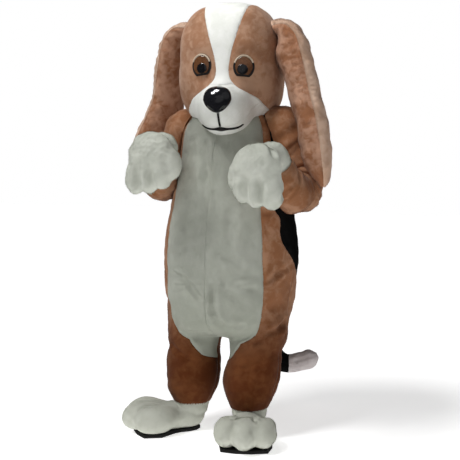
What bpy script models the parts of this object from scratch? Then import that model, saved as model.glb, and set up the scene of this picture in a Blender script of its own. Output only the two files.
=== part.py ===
# A full-body dog mascot suit in short plush, worn and filled out, standing with its paws held up.
# Lengths are in metres. Heights in the tables are above the floor. The origin is between the wearer's
# shoulders, where the suit hangs. The body faces -Y, and the wearer's left is +X.
import math

import bmesh
import bpy
import numpy as np

# Driving dimensions
SHOULDER_HEIGHT = 1.42
CLOTH = 0.003
HEAD_WALL = 0.010
SEAM = 0.00015
SEAT = 0.0006
EAR_SEAT = 0.0013
LAID_GAP = 0.00085
PROBE = 0.0005
HAIR = 1e-9
CAST_STEPS = 34

# Colours, roughness
BROWN = (0.27, 0.125, 0.06)
WHITE = (0.72, 0.72, 0.66)
BLACK = (0.012, 0.011, 0.012)
PLUSH = 0.95

collection = bpy.data.collections.new("dog_mascot_costume")
cutters = bpy.data.collections.new("cutters")
for old in list(bpy.data.objects):
    bpy.data.objects.remove(old, do_unlink=True)
bpy.context.scene.collection.children.link(collection)
bpy.context.scene.collection.children.link(cutters)


# Tables, read by the name of a column
def columns(names, rows):
    values = np.array(rows, dtype=float)
    order = np.argsort(values[:, 0])
    return {name: values[order, i] for i, name in enumerate(names)}


def read(table, name, at):
    """The column's value at a place along the first column, on a smooth curve through the rows."""
    xs = next(iter(table.values()))
    ys = table[name]
    slope = np.gradient(ys, xs)
    at = np.clip(at, xs[0], xs[-1])
    i = np.clip(np.searchsorted(xs, at, side="right") - 1, 0, len(xs) - 2)
    step = xs[i + 1] - xs[i]
    t = (at - xs[i]) / step
    rise = t * t * (3 - 2 * t)
    bend_in = t * (1 - t) ** 2 * step * slope[i]
    bend_out = t * t * (t - 1) * step * slope[i + 1]
    return ys[i] * (1 - rise) + ys[i + 1] * rise + bend_in + bend_out


def soft_min(a, b, reach):
    mix = np.maximum(reach - np.abs(a - b), 0) / reach
    return np.minimum(a, b) - mix * mix * reach / 4


def soft_step(t):
    t = np.clip(t, 0, 1)
    return t * t * (3 - 2 * t)


def unit(v):
    return v / np.linalg.norm(v, axis=-1, keepdims=True)


def cast(field, origin, direction, far):
    """Where rays from inside a form leave it."""
    near = np.zeros(direction.shape[:-1])
    out = near + far
    for _ in range(CAST_STEPS):
        middle = (near + out) / 2
        inside = field(origin + middle[..., None] * direction) < 0
        near = np.where(inside, middle, near)
        out = np.where(inside, out, middle)
    return origin + near[..., None] * direction


def outward(field, p):
    slope = np.empty_like(p)
    for axis in range(3):
        step = np.zeros(3)
        step[axis] = PROBE
        slope[..., axis] = field(p + step) - field(p - step)
    return unit(slope)


def ellipsoid(p, centre, radii, power=2.0):
    q = np.abs((p - centre) / radii)
    size = (q**power).sum(axis=-1) ** (1 / power)
    return (size - 1) * min(radii)


def capsule(p, start, end, radius):
    line = end - start
    t = np.clip(((p - start) @ line) / (line @ line), 0, 1)
    return np.linalg.norm(p - start - t[..., None] * line, axis=-1) - radius


# Materials and meshes
def material(name, colour, roughness, coat=0.0):
    made = bpy.data.materials.get(name) or bpy.data.materials.new(name)
    made.use_nodes = True
    shader = made.node_tree.nodes["Principled BSDF"]
    shader.inputs["Base Color"].default_value = (*colour, 1)
    shader.inputs["Roughness"].default_value = roughness
    shader.inputs["Metallic"].default_value = 0.0
    shader.inputs["Coat Weight"].default_value = coat
    return made


def link(name, mesh, look, home=collection):
    item = bpy.data.objects.new(name, mesh)
    home.objects.link(item)
    if look:
        mesh.materials.append(look)
    mesh.shade_smooth()
    return item


def solid_grid(name, outer, inner, look, ring=False, home=collection):
    """A closed solid between two grids of points. A ring's last row joins its first."""
    rows, cols = outer.shape[:2]
    bm = bmesh.new()
    drop = np.array([0, 0, -SHOULDER_HEIGHT])
    top = [[bm.verts.new(p) for p in row + drop] for row in outer]
    low = [[bm.verts.new(p) for p in row + drop] for row in inner]
    last = rows if ring else rows - 1
    pole = np.ptp(outer[:, -1], axis=0).max() < PROBE
    for i in range(last):
        k = (i + 1) % rows
        for j in range(cols - 1):
            bm.faces.new((top[i][j], top[i][j + 1], top[k][j + 1], top[k][j]))
            bm.faces.new((low[k][j], low[k][j + 1], low[i][j + 1], low[i][j]))
        bm.faces.new((top[i][0], top[k][0], low[k][0], low[i][0]))
        if not pole:
            bm.faces.new((top[k][-1], top[i][-1], low[i][-1], low[k][-1]))
    if not ring:
        for j in range(cols - 1):
            bm.faces.new((top[0][j + 1], top[0][j], low[0][j], low[0][j + 1]))
            bm.faces.new((top[-1][j], top[-1][j + 1], low[-1][j + 1], low[-1][j]))
    bmesh.ops.remove_doubles(bm, verts=bm.verts, dist=0.00001)
    bmesh.ops.triangulate(bm, faces=bm.faces)
    bmesh.ops.recalc_face_normals(bm, faces=bm.faces)
    mesh = bpy.data.meshes.new(name)
    bm.to_mesh(mesh)
    bm.free()
    return link(name, mesh, look, home)


def solid_loft(name, rings, look, home=collection):
    """A closed solid through rings of points, with flat ends."""
    bm = bmesh.new()
    drop = np.array([0, 0, -SHOULDER_HEIGHT])
    made = [[bm.verts.new(p) for p in ring + drop] for ring in rings]
    count = len(made[0])
    for a, b in zip(made, made[1:]):
        for j in range(count):
            k = (j + 1) % count
            bm.faces.new((a[j], a[k], b[k], b[j]))
    bm.faces.new(list(reversed(made[0])))
    bm.faces.new(made[-1])
    bmesh.ops.triangulate(bm, faces=bm.faces)
    bmesh.ops.recalc_face_normals(bm, faces=bm.faces)
    mesh = bpy.data.meshes.new(name)
    bm.to_mesh(mesh)
    bm.free()
    return link(name, mesh, look, home)


def cutter(item):
    item.hide_render = True
    item.display_type = "WIRE"
    return item


def cut(item, *tools):
    for tool in tools:
        step = item.modifiers.new("cut " + tool.name, "BOOLEAN")
        step.operation = "DIFFERENCE"
        step.solver = "EXACT"
        step.object = tool


brown = material("brown plush", BROWN, PLUSH)
white = material("white plush", WHITE, PLUSH)
black = material("black plush", BLACK, PLUSH)

# Suit body: a torso section and a round leg section at each height, run together softly
TORSO = columns(
    ("height", "half_width", "half_depth"),
    (
        (0.400, 0.030, 0.020),
        (0.420, 0.110, 0.085),
        (0.445, 0.180, 0.152),
        (0.480, 0.232, 0.198),
        (0.540, 0.270, 0.230),
        (0.620, 0.287, 0.246),
        (0.700, 0.292, 0.252),
        (0.800, 0.293, 0.254),
        (0.900, 0.280, 0.246),
        (1.000, 0.260, 0.232),
        (1.100, 0.240, 0.212),
        (1.200, 0.230, 0.190),
        (1.270, 0.222, 0.172),
        (1.325, 0.206, 0.156),
        (1.358, 0.182, 0.144),
        (1.374, 0.160, 0.133),
        (1.382, 0.140, 0.122),
    ),
)
LEG = columns(
    ("height", "side", "radius", "middle_y"),
    (
        (0.126, 0.137, 0.0800, -0.102),
        (0.150, 0.138, 0.0920, -0.100),
        (0.185, 0.138, 0.1080, -0.094),
        (0.250, 0.138, 0.1200, -0.080),
        (0.300, 0.143, 0.1180, -0.067),
        (0.345, 0.149, 0.1140, -0.056),
        (0.400, 0.149, 0.1220, -0.042),
        (0.480, 0.143, 0.1300, -0.022),
        (0.600, 0.130, 0.1100, 0.000),
        (0.800, 0.120, 0.0800, 0.012),
        (1.000, 0.110, 0.0500, 0.020),
        (1.382, 0.100, 0.0300, 0.030),
    ),
)
TORSO_POWER = 2.15
LEG_BLEND = 0.055
SEAT_BOTTOM = 0.428
SEAT_RISE = 1.6
AXIS_OUT = 0.80
AXIS_IN = 0.44
SUIT_FAR = 0.55

# Soft folds of the suit on each half: where the middle is, how long, how wide, how deep, how steep
FOLDS = (
    # side_x, front_y, height, half_length, half_width, depth, slope
    (0.100, -0.16, 0.415, 0.080, 0.020, 0.010, 0.35),
    (0.160, -0.17, 0.300, 0.070, 0.018, 0.006, -0.20),
    (0.230, -0.06, 0.350, 0.080, 0.020, 0.007, 0.30),
    (0.240, -0.08, 0.560, 0.090, 0.024, 0.008, 0.45),
    (0.150, 0.10, 0.400, 0.090, 0.022, 0.008, -0.30),
    (0.180, -0.12, 0.205, 0.080, 0.016, 0.006, 0.15),
)

# The halves' seams, as shares of the way round from the front middle to the back middle
SEAMS = columns(
    ("height", "bib", "saddle"),
    (
        (0.315, 0.012, 1.000),
        (0.330, 0.100, 1.000),
        (0.355, 0.152, 1.000),
        (0.390, 0.197, 1.000),
        (0.430, 0.224, 1.000),
        (0.500, 0.254, 0.990),
        (0.560, 0.274, 0.840),
        (0.650, 0.288, 0.640),
        (0.750, 0.289, 0.490),
        (0.850, 0.289, 0.395),
        (0.930, 0.289, 0.400),
        (1.000, 0.292, 0.350),
        (1.200, 0.335, 0.390),
        (1.382, 0.350, 0.400),
    ),
)
LEG_COLS = 7
NECK_TOP = 1.382
BIB_TIP = 0.315
SADDLE_TIP = 0.500
SEAT_TIP = 0.780
OUTSEAM = 0.5
TIP_SHARE = 0.010
TIP_STEP = 0.006
HEM = 0.126


def suit_field(p):
    x, y, h = np.abs(p[..., 0]), p[..., 1], p[..., 2]
    wide = read(TORSO, "half_width", h)
    deep = read(TORSO, "half_depth", h)
    y = y - read(LEG, "middle_y", h)
    around = (np.abs(x / wide) ** TORSO_POWER + np.abs(y / deep) ** TORSO_POWER) ** (1 / TORSO_POWER)
    torso = (around - 1) * np.minimum(wide, deep) + SEAT_RISE * np.maximum(SEAT_BOTTOM - h, 0)
    leg = np.hypot(x - read(LEG, "side", h), y) - read(LEG, "radius", h)
    skin = soft_min(torso, leg, LEG_BLEND)
    for side_x, front_y, height, half_length, half_width, depth, slope in FOLDS:
        along = np.hypot(x - side_x, p[..., 1] - front_y)
        across = h - height - slope * (x - side_x)
        skin = skin + depth * np.exp(-((along / half_length) ** 2) - (across / half_width) ** 2)
    return skin


def axis_share(h):
    return soft_step((AXIS_OUT - h) / (AXIS_OUT - AXIS_IN))


def crotch_height():
    low, high = AXIS_IN - 0.10, AXIS_IN + 0.10
    for _ in range(CAST_STEPS):
        middle = (low + high) / 2
        point = np.array([0.0, float(read(LEG, "middle_y", middle)), middle])
        if suit_field(point) < 0:
            high = middle
        else:
            low = middle
    return high


CROTCH = crotch_height()


def half_ends(h):
    """Angles round a half's own axis at which it meets the middle plane, front and back."""
    middle_y = read(LEG, "middle_y", h)
    axis = read(LEG, "side", h) * axis_share(h)
    angles = []
    for way in (-1.0, 1.0):
        near = np.zeros_like(h)
        far = np.full_like(h, SUIT_FAR)
        for _ in range(CAST_STEPS):
            middle = (near + far) / 2
            p = np.stack([np.zeros_like(h), middle_y + way * middle, h], axis=-1)
            inside = suit_field(p) < 0
            near = np.where(inside, middle, near)
            far = np.where(inside, far, middle)
        reach = np.where(h > CROTCH, near, 0.0)
        angles.append(np.arctan2(reach, axis))
    return angles[0], 2 * math.pi - angles[1]


def suit_point(share, h):
    """The suit's outer face: share runs 0 to 1 from the front middle round the side to the back middle."""
    first, last = half_ends(h)
    turn = first + share * (last - first)
    axis = read(LEG, "side", h) * axis_share(h)
    origin = np.stack([axis, read(LEG, "middle_y", h), h], axis=-1)
    direction = np.stack([-np.cos(turn), -np.sin(turn), np.zeros_like(turn)], axis=-1)
    to_middle = (axis + HAIR) / np.maximum(np.cos(turn), HAIR)
    return cast(suit_field, origin, direction, np.minimum(to_middle, SUIT_FAR))


def suit_rows():
    neck = (NECK_TOP, 1.372, 1.350, 1.315, 1.265, 1.205)
    trunk = (1.140, 1.070, 1.000, 0.930, 0.860, SEAT_TIP + TIP_STEP, SEAT_TIP, 0.710, 0.635, 0.570)
    seat = (0.530, SADDLE_TIP, SADDLE_TIP - TIP_STEP, 0.465, 0.442)
    crotch = (CROTCH + 0.008, CROTCH + 0.002, CROTCH, CROTCH - 0.006)
    thigh = (0.385, 0.362, 0.338, BIB_TIP, BIB_TIP - TIP_STEP)
    leg = (0.260, 0.205, 0.160, HEM)
    return np.array(sorted({round(h, 6) for h in neck + trunk + seat + crotch + thigh + leg}, reverse=True))


ROWS = suit_rows()


def suit_panel(name, look, side, first, last, cols, top, bottom):
    """A panel of one half between two seams, with the seam allowance of a hair each side."""
    heights = ROWS[(ROWS <= top + PROBE / 10) & (ROWS >= bottom - PROBE / 10)]
    a = first(heights)
    b = last(heights)
    girth = 0.75 * (read(TORSO, "half_width", heights) + 0.08) * math.pi
    a = a + SEAM / girth
    b = b - SEAM / girth
    spread = np.linspace(0, 1, cols + 1)
    share = a[:, None] + (b - a)[:, None] * spread[None, :]
    h = np.repeat(heights[:, None], cols + 1, axis=1)
    outer = suit_point(share, h)
    inner = outer - CLOTH * outward(suit_field, outer)
    hand = np.array([side, 1.0, 1.0])
    shift = np.array([SEAM, 0, 0])
    return solid_grid(name, (outer + shift) * hand, (inner + shift) * hand, look)


def bib_edge(h):
    return read(SEAMS, "bib", h)


def saddle_edge(h):
    return np.minimum(read(SEAMS, "saddle", h), 1.0)


def no_share(h):
    return np.zeros_like(h)


def whole_share(h):
    return np.ones_like(h)


def outseam(h):
    """The brown front piece's back edge: the saddle, then the outer leg seam below the seat's tip."""
    below = np.minimum(OUTSEAM, saddle_edge(h) - TIP_SHARE)
    return np.where(h > SEAT_TIP + PROBE / 10, saddle_edge(h), below)


def bib_or_inseam(h):
    return np.where(h < BIB_TIP - PROBE / 10, 0.0, bib_edge(h))


def core(name, grow, top, bottom):
    """A filled copy of the torso, a little larger, that trims what sits on it."""
    heights = ROWS[(ROWS <= top) & (ROWS >= bottom)]
    turns = np.linspace(0, 2, 73)[:-1]
    share = np.where(turns <= 1, turns, 2 - turns)
    hand = np.where(turns <= 1, 1.0, -1.0)
    h = np.repeat(heights[:, None], len(turns), axis=1)
    p = suit_point(np.repeat(share[None, :], len(heights), axis=0), h)
    p = p + grow * outward(suit_field, p)
    p[..., 0] *= hand[None, :]
    return cutter(solid_loft(name, list(p), None, cutters))


torso_core = core("torso_core", SEAT, NECK_TOP, 0.47)

# Sleeves: a tube along each arm, with the folds bunched at the elbow
ARM_NAMES = ("x", "y", "height", "radius")
ARMS = {
    "left": (
        (0.150, 0.034, 1.320, 0.066),
        (0.226, 0.034, 1.314, 0.085),
        (0.287, 0.034, 1.212, 0.087),
        (0.326, 0.026, 1.105, 0.084),
        (0.342, -0.026, 1.046, 0.083),
        (0.342, -0.096, 1.034, 0.081),
        (0.332, -0.163, 1.068, 0.077),
        (0.322, -0.203, 1.106, 0.071),
        (0.313, -0.236, 1.148, 0.067),
    ),
    "right": (
        (-0.150, 0.034, 1.320, 0.066),
        (-0.224, 0.034, 1.312, 0.084),
        (-0.277, 0.034, 1.220, 0.085),
        (-0.304, 0.024, 1.128, 0.081),
        (-0.306, -0.028, 1.078, 0.081),
        (-0.290, -0.093, 1.074, 0.079),
        (-0.257, -0.150, 1.110, 0.075),
        (-0.228, -0.198, 1.155, 0.070),
        (-0.203, -0.236, 1.194, 0.067),
    ),
}
# Folds on a sleeve: place along it, which way round, how far round, how wide along, how deep
SLEEVE_FOLDS = {
    "left": (
        (0.20, 0.6, 1.2, 0.030, 0.006),
        (0.34, 2.2, 1.1, 0.028, 0.009),
        (0.45, 0.3, 1.3, 0.026, 0.014),
        (0.52, 3.4, 1.2, 0.026, 0.013),
        (0.60, 1.0, 1.3, 0.026, 0.014),
        (0.68, 4.4, 1.1, 0.026, 0.010),
        (0.80, 2.6, 1.4, 0.024, 0.008),
        (0.90, 0.2, 2.0, 0.020, 0.006),
    ),
    "right": (
        (0.22, 3.0, 1.2, 0.030, 0.006),
        (0.40, 1.0, 1.2, 0.028, 0.010),
        (0.52, 4.2, 1.3, 0.026, 0.012),
        (0.62, 2.4, 1.2, 0.026, 0.010),
        (0.78, 5.4, 1.4, 0.024, 0.007),
        (0.90, 2.0, 2.0, 0.020, 0.006),
    ),
}
SLEEVE_ROWS = 18
SLEEVE_SIDES = 14
TUCK_CLEAR = 0.0006
TUCK_BLEND = 0.003
HEM_GAP = 0.001
CUFF_ROOM = 0.003


def tucked(radius, sides):
    """The radius that fits inside a faceted cuff of the given outer radius."""
    return (radius - CLOTH) * math.cos(math.pi / sides) - TUCK_CLEAR


def spine(table, names, count, start=0.0, end=1.0):
    """Points along a smooth curve through a table's rows, with the other columns and a steady frame."""
    values = np.array(table, dtype=float)
    steps = np.linalg.norm(np.diff(values[:, :3], axis=0), axis=1)
    along = np.concatenate([[0], np.cumsum(steps)]) / steps.sum()
    smooth = {"along": along}
    for i, name in enumerate(names):
        smooth[name] = values[:, i]
    at = np.linspace(start, end, count)
    points = np.stack([read(smooth, name, at) for name in names[:3]], axis=-1)
    tangents = unit(np.gradient(points, axis=0))
    across = np.cross(tangents[0], np.array([0.0, 1.0, 0.0]))
    sides = []
    for tangent in tangents:
        across = across - tangent * (across @ tangent)
        across = across / np.linalg.norm(across)
        sides.append(across)
    sides = np.array(sides)
    others = np.cross(tangents, sides)
    extra = {name: read(smooth, name, at) for name in names[3:]}
    return at, points, tangents, sides, others, extra


def sleeve_rings(arm, inset, rows, sides, start=0.0):
    at, points, _, across, other, extra = spine(ARMS[arm], ARM_NAMES, rows, start)
    turn = np.linspace(0, 2 * math.pi, sides, endpoint=False)
    radius = np.repeat(extra["radius"][:, None], sides, axis=1)
    ends = soft_step((1 - at) / 0.08)[:, None]
    for place, way, reach, width, depth in SLEEVE_FOLDS[arm]:
        off = np.angle(np.exp(1j * (turn - way)))
        lean = place + 0.02 * off / reach
        press = np.exp(-((at[:, None] - lean[None, :]) / width) ** 2 - (off[None, :] / reach) ** 2)
        radius = radius - depth * press * ends
    radius = radius - inset
    ring = np.cos(turn)[None, :, None] * across[:, None, :] + np.sin(turn)[None, :, None] * other[:, None, :]
    return points[:, None, :] + radius[..., None] * ring


def closed_columns(grid):
    return np.concatenate([grid, grid[:, :1]], axis=1)


def sleeve(arm):
    outer = sleeve_rings(arm, 0.0, SLEEVE_ROWS, SLEEVE_SIDES)
    inner = sleeve_rings(arm, CLOTH, SLEEVE_ROWS, SLEEVE_SIDES)
    made = solid_grid("sleeve_" + arm, outer.transpose(1, 0, 2), inner.transpose(1, 0, 2), brown, ring=True)
    cut(made, torso_core)
    return made


def filled_sleeve(name, arm, inset):
    """The upper part of a sleeve as a filled form, for trimming."""
    rings = sleeve_rings(arm, inset, SLEEVE_ROWS, SLEEVE_SIDES)
    reach = SLEEVE_ROWS // 3
    return cutter(solid_loft(name, list(rings[:reach]), None, cutters))


shoulders = []
for side, arm in ((1.0, "left"), (-1.0, "right")):
    hole = filled_sleeve("armhole_" + arm, arm, CLOTH)
    shoulders.append(filled_sleeve("shoulder_core_" + arm, arm, -SEAT))
    suit_panel("bib_" + arm, white, side, no_share, bib_edge, 5, NECK_TOP, BIB_TIP)
    flank = suit_panel("flank_" + arm, brown, side, bib_or_inseam, outseam, LEG_COLS, NECK_TOP, HEM)
    suit_panel("seat_" + arm, brown, side, outseam, saddle_edge, LEG_COLS, SEAT_TIP, HEM)
    back = suit_panel("saddle_" + arm, black, side, saddle_edge, whole_share, 7, NECK_TOP, SADDLE_TIP)
    cut(flank, hole)
    cut(back, hole)
    sleeve(arm)

# Head: soft forms run together, split into panels by rows that turn about the ear-to-ear line
HEAD_MIDDLE = np.array([0.0, 0.02, 1.56])
HEAD_YAW = math.radians(13.5)
HEAD_ROLL = math.radians(-0.5)
HEAD_FORMS = (
    # middle x, y, z, then half width, half depth, half height, then how square
    ((0.0, 0.010, 0.041), (0.217, 0.212, 0.236), 2.6),
    ((0.0, 0.000, -0.095), (0.212, 0.195, 0.165), 2.2),
    ((0.0, -0.185, -0.160), (0.108, 0.118, 0.088), 2.0),
    ((0.0, -0.150, -0.225), (0.088, 0.100, 0.060), 2.0),
)
HEAD_BLEND = 0.05
HEAD_EYE = np.array([0.0, -0.02, -0.04])
HEAD_FAR = 0.5
WHITE_EDGE = columns(
    ("turn", "reach"),
    (
        (-86, 50),
        (-60, 48),
        (-45, 44),
        (-32, 38),
        (-22, 28),
        (-12, 15),
        (-4, 9.5),
        (5, 8.0),
        (20, 9.5),
        (45, 14),
        (70, 17),
        (90, 17),
        (108, 14),
        (122, 8),
        (134, 1.4),
        (142, 0.0),
        (236, 0.0),
        (250, 8),
        (262, 30),
    ),
)
MOUTH_TURN = -43
BROW_TURN = -11
BLAZE_TIP = 134
CHIN_END = -86
HEAD_ROWS = np.array(
    [-86, -75, -64, -53, MOUTH_TURN, -35, -27, -19, BROW_TURN, -2, 8, 20, 33, 47, 62, 78, 94, 108]
    + [121, BLAZE_TIP, 148, 168, 190, 212, 236, 250, 262],
    dtype=float,
)


def head_field(p):
    first, *others = HEAD_FORMS
    skin = ellipsoid(p, np.array(first[0]), *first[1:])
    for middle, radii, power in others:
        skin = soft_min(skin, ellipsoid(p, np.array(middle), radii, power), HEAD_BLEND)
    return skin


def head_place(p):
    """From the head's own frame to the suit's."""
    roll = np.array(
        [
            [math.cos(HEAD_ROLL), 0, math.sin(HEAD_ROLL)],
            [0, 1, 0],
            [-math.sin(HEAD_ROLL), 0, math.cos(HEAD_ROLL)],
        ]
    )
    yaw = np.array(
        [
            [math.cos(HEAD_YAW), -math.sin(HEAD_YAW), 0],
            [math.sin(HEAD_YAW), math.cos(HEAD_YAW), 0],
            [0, 0, 1],
        ]
    )
    return HEAD_MIDDLE + p @ (yaw @ roll).T


def head_point(reach, turn):
    """The head's outer face: reach in degrees towards an ear, turn in degrees from the front up and over."""
    reach = np.radians(reach)
    turn = np.radians(turn)
    direction = np.stack([np.sin(reach), -np.cos(reach) * np.cos(turn), np.cos(reach) * np.sin(turn)], axis=-1)
    return cast(head_field, HEAD_EYE, direction, HEAD_FAR)


def head_piece(name, look, reach, turn, ring=False):
    outer = head_point(reach, turn)
    inner = outer - HEAD_WALL * outward(head_field, outer)
    return solid_grid(name, head_place(outer), head_place(inner), look, ring)


HEAD_HAIR = math.degrees(SEAM / 0.22)


def strip(name, look, start, end, low, high, cols):
    """A white head panel over a range of turns, between shares of the white edge's reach."""
    turns = HEAD_ROWS[(HEAD_ROWS >= start) & (HEAD_ROWS <= end)].copy()
    edge = read(WHITE_EDGE, "reach", turns) - HEAD_HAIR
    turns[0] += HEAD_HAIR
    turns[-1] -= HEAD_HAIR
    a = np.maximum(low * edge, -edge) + (HEAD_HAIR if low == 0 else 0)
    b = high * edge - (HEAD_HAIR if high == 0 else 0)
    spread = np.linspace(0, 1, cols + 1)
    reach = a[:, None] + (b - a)[:, None] * spread[None, :]
    turn = np.repeat(turns[:, None], cols + 1, axis=1)
    return head_piece(name, look, reach, turn)


def neck_core():
    turn = np.linspace(0, 2 * math.pi, 36, endpoint=False)
    rings = []
    for height in (1.25, 1.42):
        ring = np.stack([0.128 * np.cos(turn), 0.03 + 0.112 * np.sin(turn), np.full_like(turn, height)], axis=-1)
        rings.append(ring)
    return cutter(solid_loft("neck_core", rings, None, cutters))


neck = neck_core()
blaze = strip("blaze", white, BROW_TURN, BLAZE_TIP, -1, 1, 5)
muzzle_left = strip("muzzle_left", white, MOUTH_TURN, BROW_TURN, 0, 1, 5)
muzzle_right = strip("muzzle_right", white, MOUTH_TURN, BROW_TURN, -1, 0, 5)
chin = strip("chin", white, CHIN_END, MOUTH_TURN, -1, 1, 8)
cut(chin, torso_core, neck, *shoulders)

CHEEK_COLS = 6
for side, word in ((1.0, "left"), (-1.0, "right")):
    edge = np.maximum(read(WHITE_EDGE, "reach", HEAD_ROWS), 0) + HEAD_HAIR
    spread = np.linspace(0, 1, CHEEK_COLS + 1)
    reach = edge[:, None] + (90 - edge)[:, None] * spread[None, :]
    turn = np.repeat(HEAD_ROWS[:, None], CHEEK_COLS + 1, axis=1)
    cheek = head_piece("head_side_" + word, brown, side * reach, turn, ring=True)
    cut(cheek, torso_core, neck, *shoulders)


# Pieces laid on the face, from the head's own points moved out
def face_point(x, z):
    origin = np.stack([x, np.full_like(x, -0.04), z], axis=-1)
    direction = np.zeros_like(origin)
    direction[..., 1] = -1
    return cast(head_field, origin, direction, HEAD_FAR)


def laid(name, look, x, z, low, high, ring=False):
    p = face_point(x, z)
    n = outward(head_field, p)
    outer = p + n * np.asarray(high)[..., None]
    inner = p + n * np.asarray(low)[..., None]
    return solid_grid(name, head_place(outer), head_place(inner), look, ring)


def laid_disc(name, look, middle_x, middle_z, outline, low, edge, dome, sides, rings):
    """A domed piece of a given outline, from its middle out."""
    turn = np.linspace(0, 2 * math.pi, sides, endpoint=False)
    part = np.linspace(0, 1, rings + 1)
    out_x, out_z = outline(turn)
    x = middle_x + out_x[:, None] * part[None, :]
    z = middle_z + out_z[:, None] * part[None, :]
    swell = np.sqrt(np.maximum(1 - part**2, 0))
    high = low + edge + dome * np.repeat(swell[None, :], sides, axis=0)
    return laid(name, look, x[:, ::-1], z[:, ::-1], np.full_like(high, low), high[:, ::-1], ring=True)


EYE_X = 0.088
EYE_Z = {"left": -0.009, "right": 0.000}
EYE_WIDE = 0.0425
EYE_TALL = 0.050
EYE_FLAT = 0.82
SHEET_STEP = 0.0018
felt = material("black felt", BLACK, 0.7)
lid_look = material("cream plush", (0.62, 0.52, 0.40), 0.85)
iris_look = material("brown glass", (0.10, 0.04, 0.018), 0.25, 0.6)
pupil_look = material("black glass", (0.006, 0.006, 0.008), 0.12, 1.0)
nose_look = material("nose vinyl", (0.010, 0.010, 0.012), 0.18, 0.8)


def eye_outline(side, scale):
    """A tall rounded eye whose lower edge is cut nearly straight, lower at the outer corner."""

    def outline(turn):
        x = EYE_WIDE * scale * np.cos(turn)
        z = EYE_TALL * scale * np.sin(turn)
        floor = -EYE_TALL * scale * EYE_FLAT - 0.10 * side * x
        return x, np.maximum(z, floor)

    return outline


IRIS_SHARE = 0.79
LID_SHARES = (0.82, 0.97)
LID_START = math.radians(20)
PUPIL = 0.0205
PUPIL_IN = 0.005
PUPIL_DOWN = 0.0125


def pupil_outline(turn):
    return PUPIL * np.cos(turn), PUPIL * np.sin(turn)


for side, word in ((1.0, "left"), (-1.0, "right")):
    x = side * EYE_X
    eye_z = EYE_Z[word]
    level = LAID_GAP
    laid_disc("eye_base_" + word, felt, x, eye_z, eye_outline(side, 1.0), level, SHEET_STEP, 0.0, 16, 3)
    level += SHEET_STEP + LAID_GAP
    laid_disc("iris_" + word, iris_look, x, eye_z, eye_outline(side, IRIS_SHARE), level, SHEET_STEP, 0.004, 14, 2)
    turn = np.linspace(LID_START, math.pi - LID_START, 9)
    part = np.linspace(*LID_SHARES, 3)
    grid_x = x + EYE_WIDE * np.cos(turn)[:, None] * part[None, :]
    grid_z = eye_z + EYE_TALL * np.sin(turn)[:, None] * part[None, :]
    low = np.full_like(grid_x, level)
    laid("eye_lid_" + word, lid_look, grid_x, grid_z, low, low + SHEET_STEP + 0.001)
    level += SHEET_STEP + 0.004 + LAID_GAP
    pupil_x = x - side * PUPIL_IN
    laid_disc("pupil_" + word, pupil_look, pupil_x, eye_z - PUPIL_DOWN, pupil_outline, level, 0.001, 0.003, 12, 2)

NOSE_Z = -0.150
NOSE_GAP = 0.0009
NOSE_WIDE = 0.052
NOSE_TALL = 0.046


def nose_outline(turn):
    """A rounded triangle, broad at the top."""
    low, high = np.maximum(-np.sin(turn), 0), np.maximum(np.sin(turn), 0)
    return NOSE_WIDE * np.cos(turn) * (1 - 0.26 * low + 0.26 * high**2), NOSE_TALL * np.sin(turn)


laid_disc("nose", nose_look, 0.0, NOSE_Z, nose_outline, NOSE_GAP, 0.012, 0.022, 18, 3)

MOUTH_Z = -0.262
MOUTH_HALF = 0.085
LINE_HALF = 0.0035
LINE_HIGH = 0.0035
LINE_GAP = 0.0002


def laid_line(name, xs, zs, half):
    """A cord-edged line laid along the face."""
    along = np.stack([np.gradient(xs), np.gradient(zs)], axis=-1)
    along = unit(along)
    part = np.linspace(-1, 1, 3)
    x = xs[:, None] - along[:, 1:2] * part[None, :] * half
    z = zs[:, None] + along[:, 0:1] * part[None, :] * half
    high = LAID_GAP + LINE_HIGH * np.repeat(np.array([[0.4, 1.0, 0.4]]), len(xs), axis=0)
    laid(name, felt, x, z, np.full_like(high, LINE_GAP), high)


line_z = np.linspace(NOSE_Z - NOSE_TALL - 0.004, MOUTH_Z + 2 * LINE_HALF + 0.004, 5)
laid_line("philtrum", np.zeros_like(line_z), line_z, LINE_HALF * 0.8)
line_x = np.linspace(-MOUTH_HALF, MOUTH_HALF, 13)
laid_line("mouth", line_x, MOUTH_Z + 0.020 * (line_x / MOUTH_HALF) ** 4, LINE_HALF * 1.3)


def head_core():
    turns = np.linspace(-90, 270, 49)[:-1]
    reaches = np.linspace(-89, 89, 31)
    reach = np.repeat(reaches[:, None], len(turns), axis=1)
    turn = np.repeat(turns[None, :], len(reaches), axis=0)
    p = head_point(reach, turn)
    p = p + EAR_SEAT * outward(head_field, p)
    return cutter(solid_loft("head_core", list(head_place(p)), None, cutters))


head_trim = head_core()

# Ears: stuffed flaps of an outer and an inner plush face, sewn round the edge, fuller inward below the root
EAR_NAMES = ("x", "y", "height", "chord", "thick", "inward")
EAR = (
    (0.150, 0.040, 1.712, 0.110, 0.056, 0.000),
    (0.202, 0.036, 1.727, 0.126, 0.064, 0.000),
    (0.244, 0.032, 1.717, 0.146, 0.076, 0.010),
    (0.278, 0.027, 1.680, 0.160, 0.090, 0.032),
    (0.300, 0.020, 1.622, 0.168, 0.100, 0.044),
    (0.322, 0.012, 1.550, 0.170, 0.102, 0.034),
    (0.348, 0.000, 1.450, 0.170, 0.106, 0.024),
    (0.388, -0.035, 1.340, 0.170, 0.110, 0.014),
    (0.424, -0.075, 1.230, 0.168, 0.106, 0.020),
    (0.446, -0.098, 1.140, 0.136, 0.084, 0.014),
    (0.455, -0.104, 1.090, 0.090, 0.050, 0.000),
    (0.458, -0.106, 1.066, 0.034, 0.018, 0.000),
)
EAR_SPLAY = math.radians(25)
# How far an ear's top and its tip lie out of the table's curve, and how far the tip swings back and the top up
EAR_SWING = {"left": (0.004, 0.008, -0.012, -0.002), "right": (-0.009, -0.001, 0.118, 0.010)}
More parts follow.
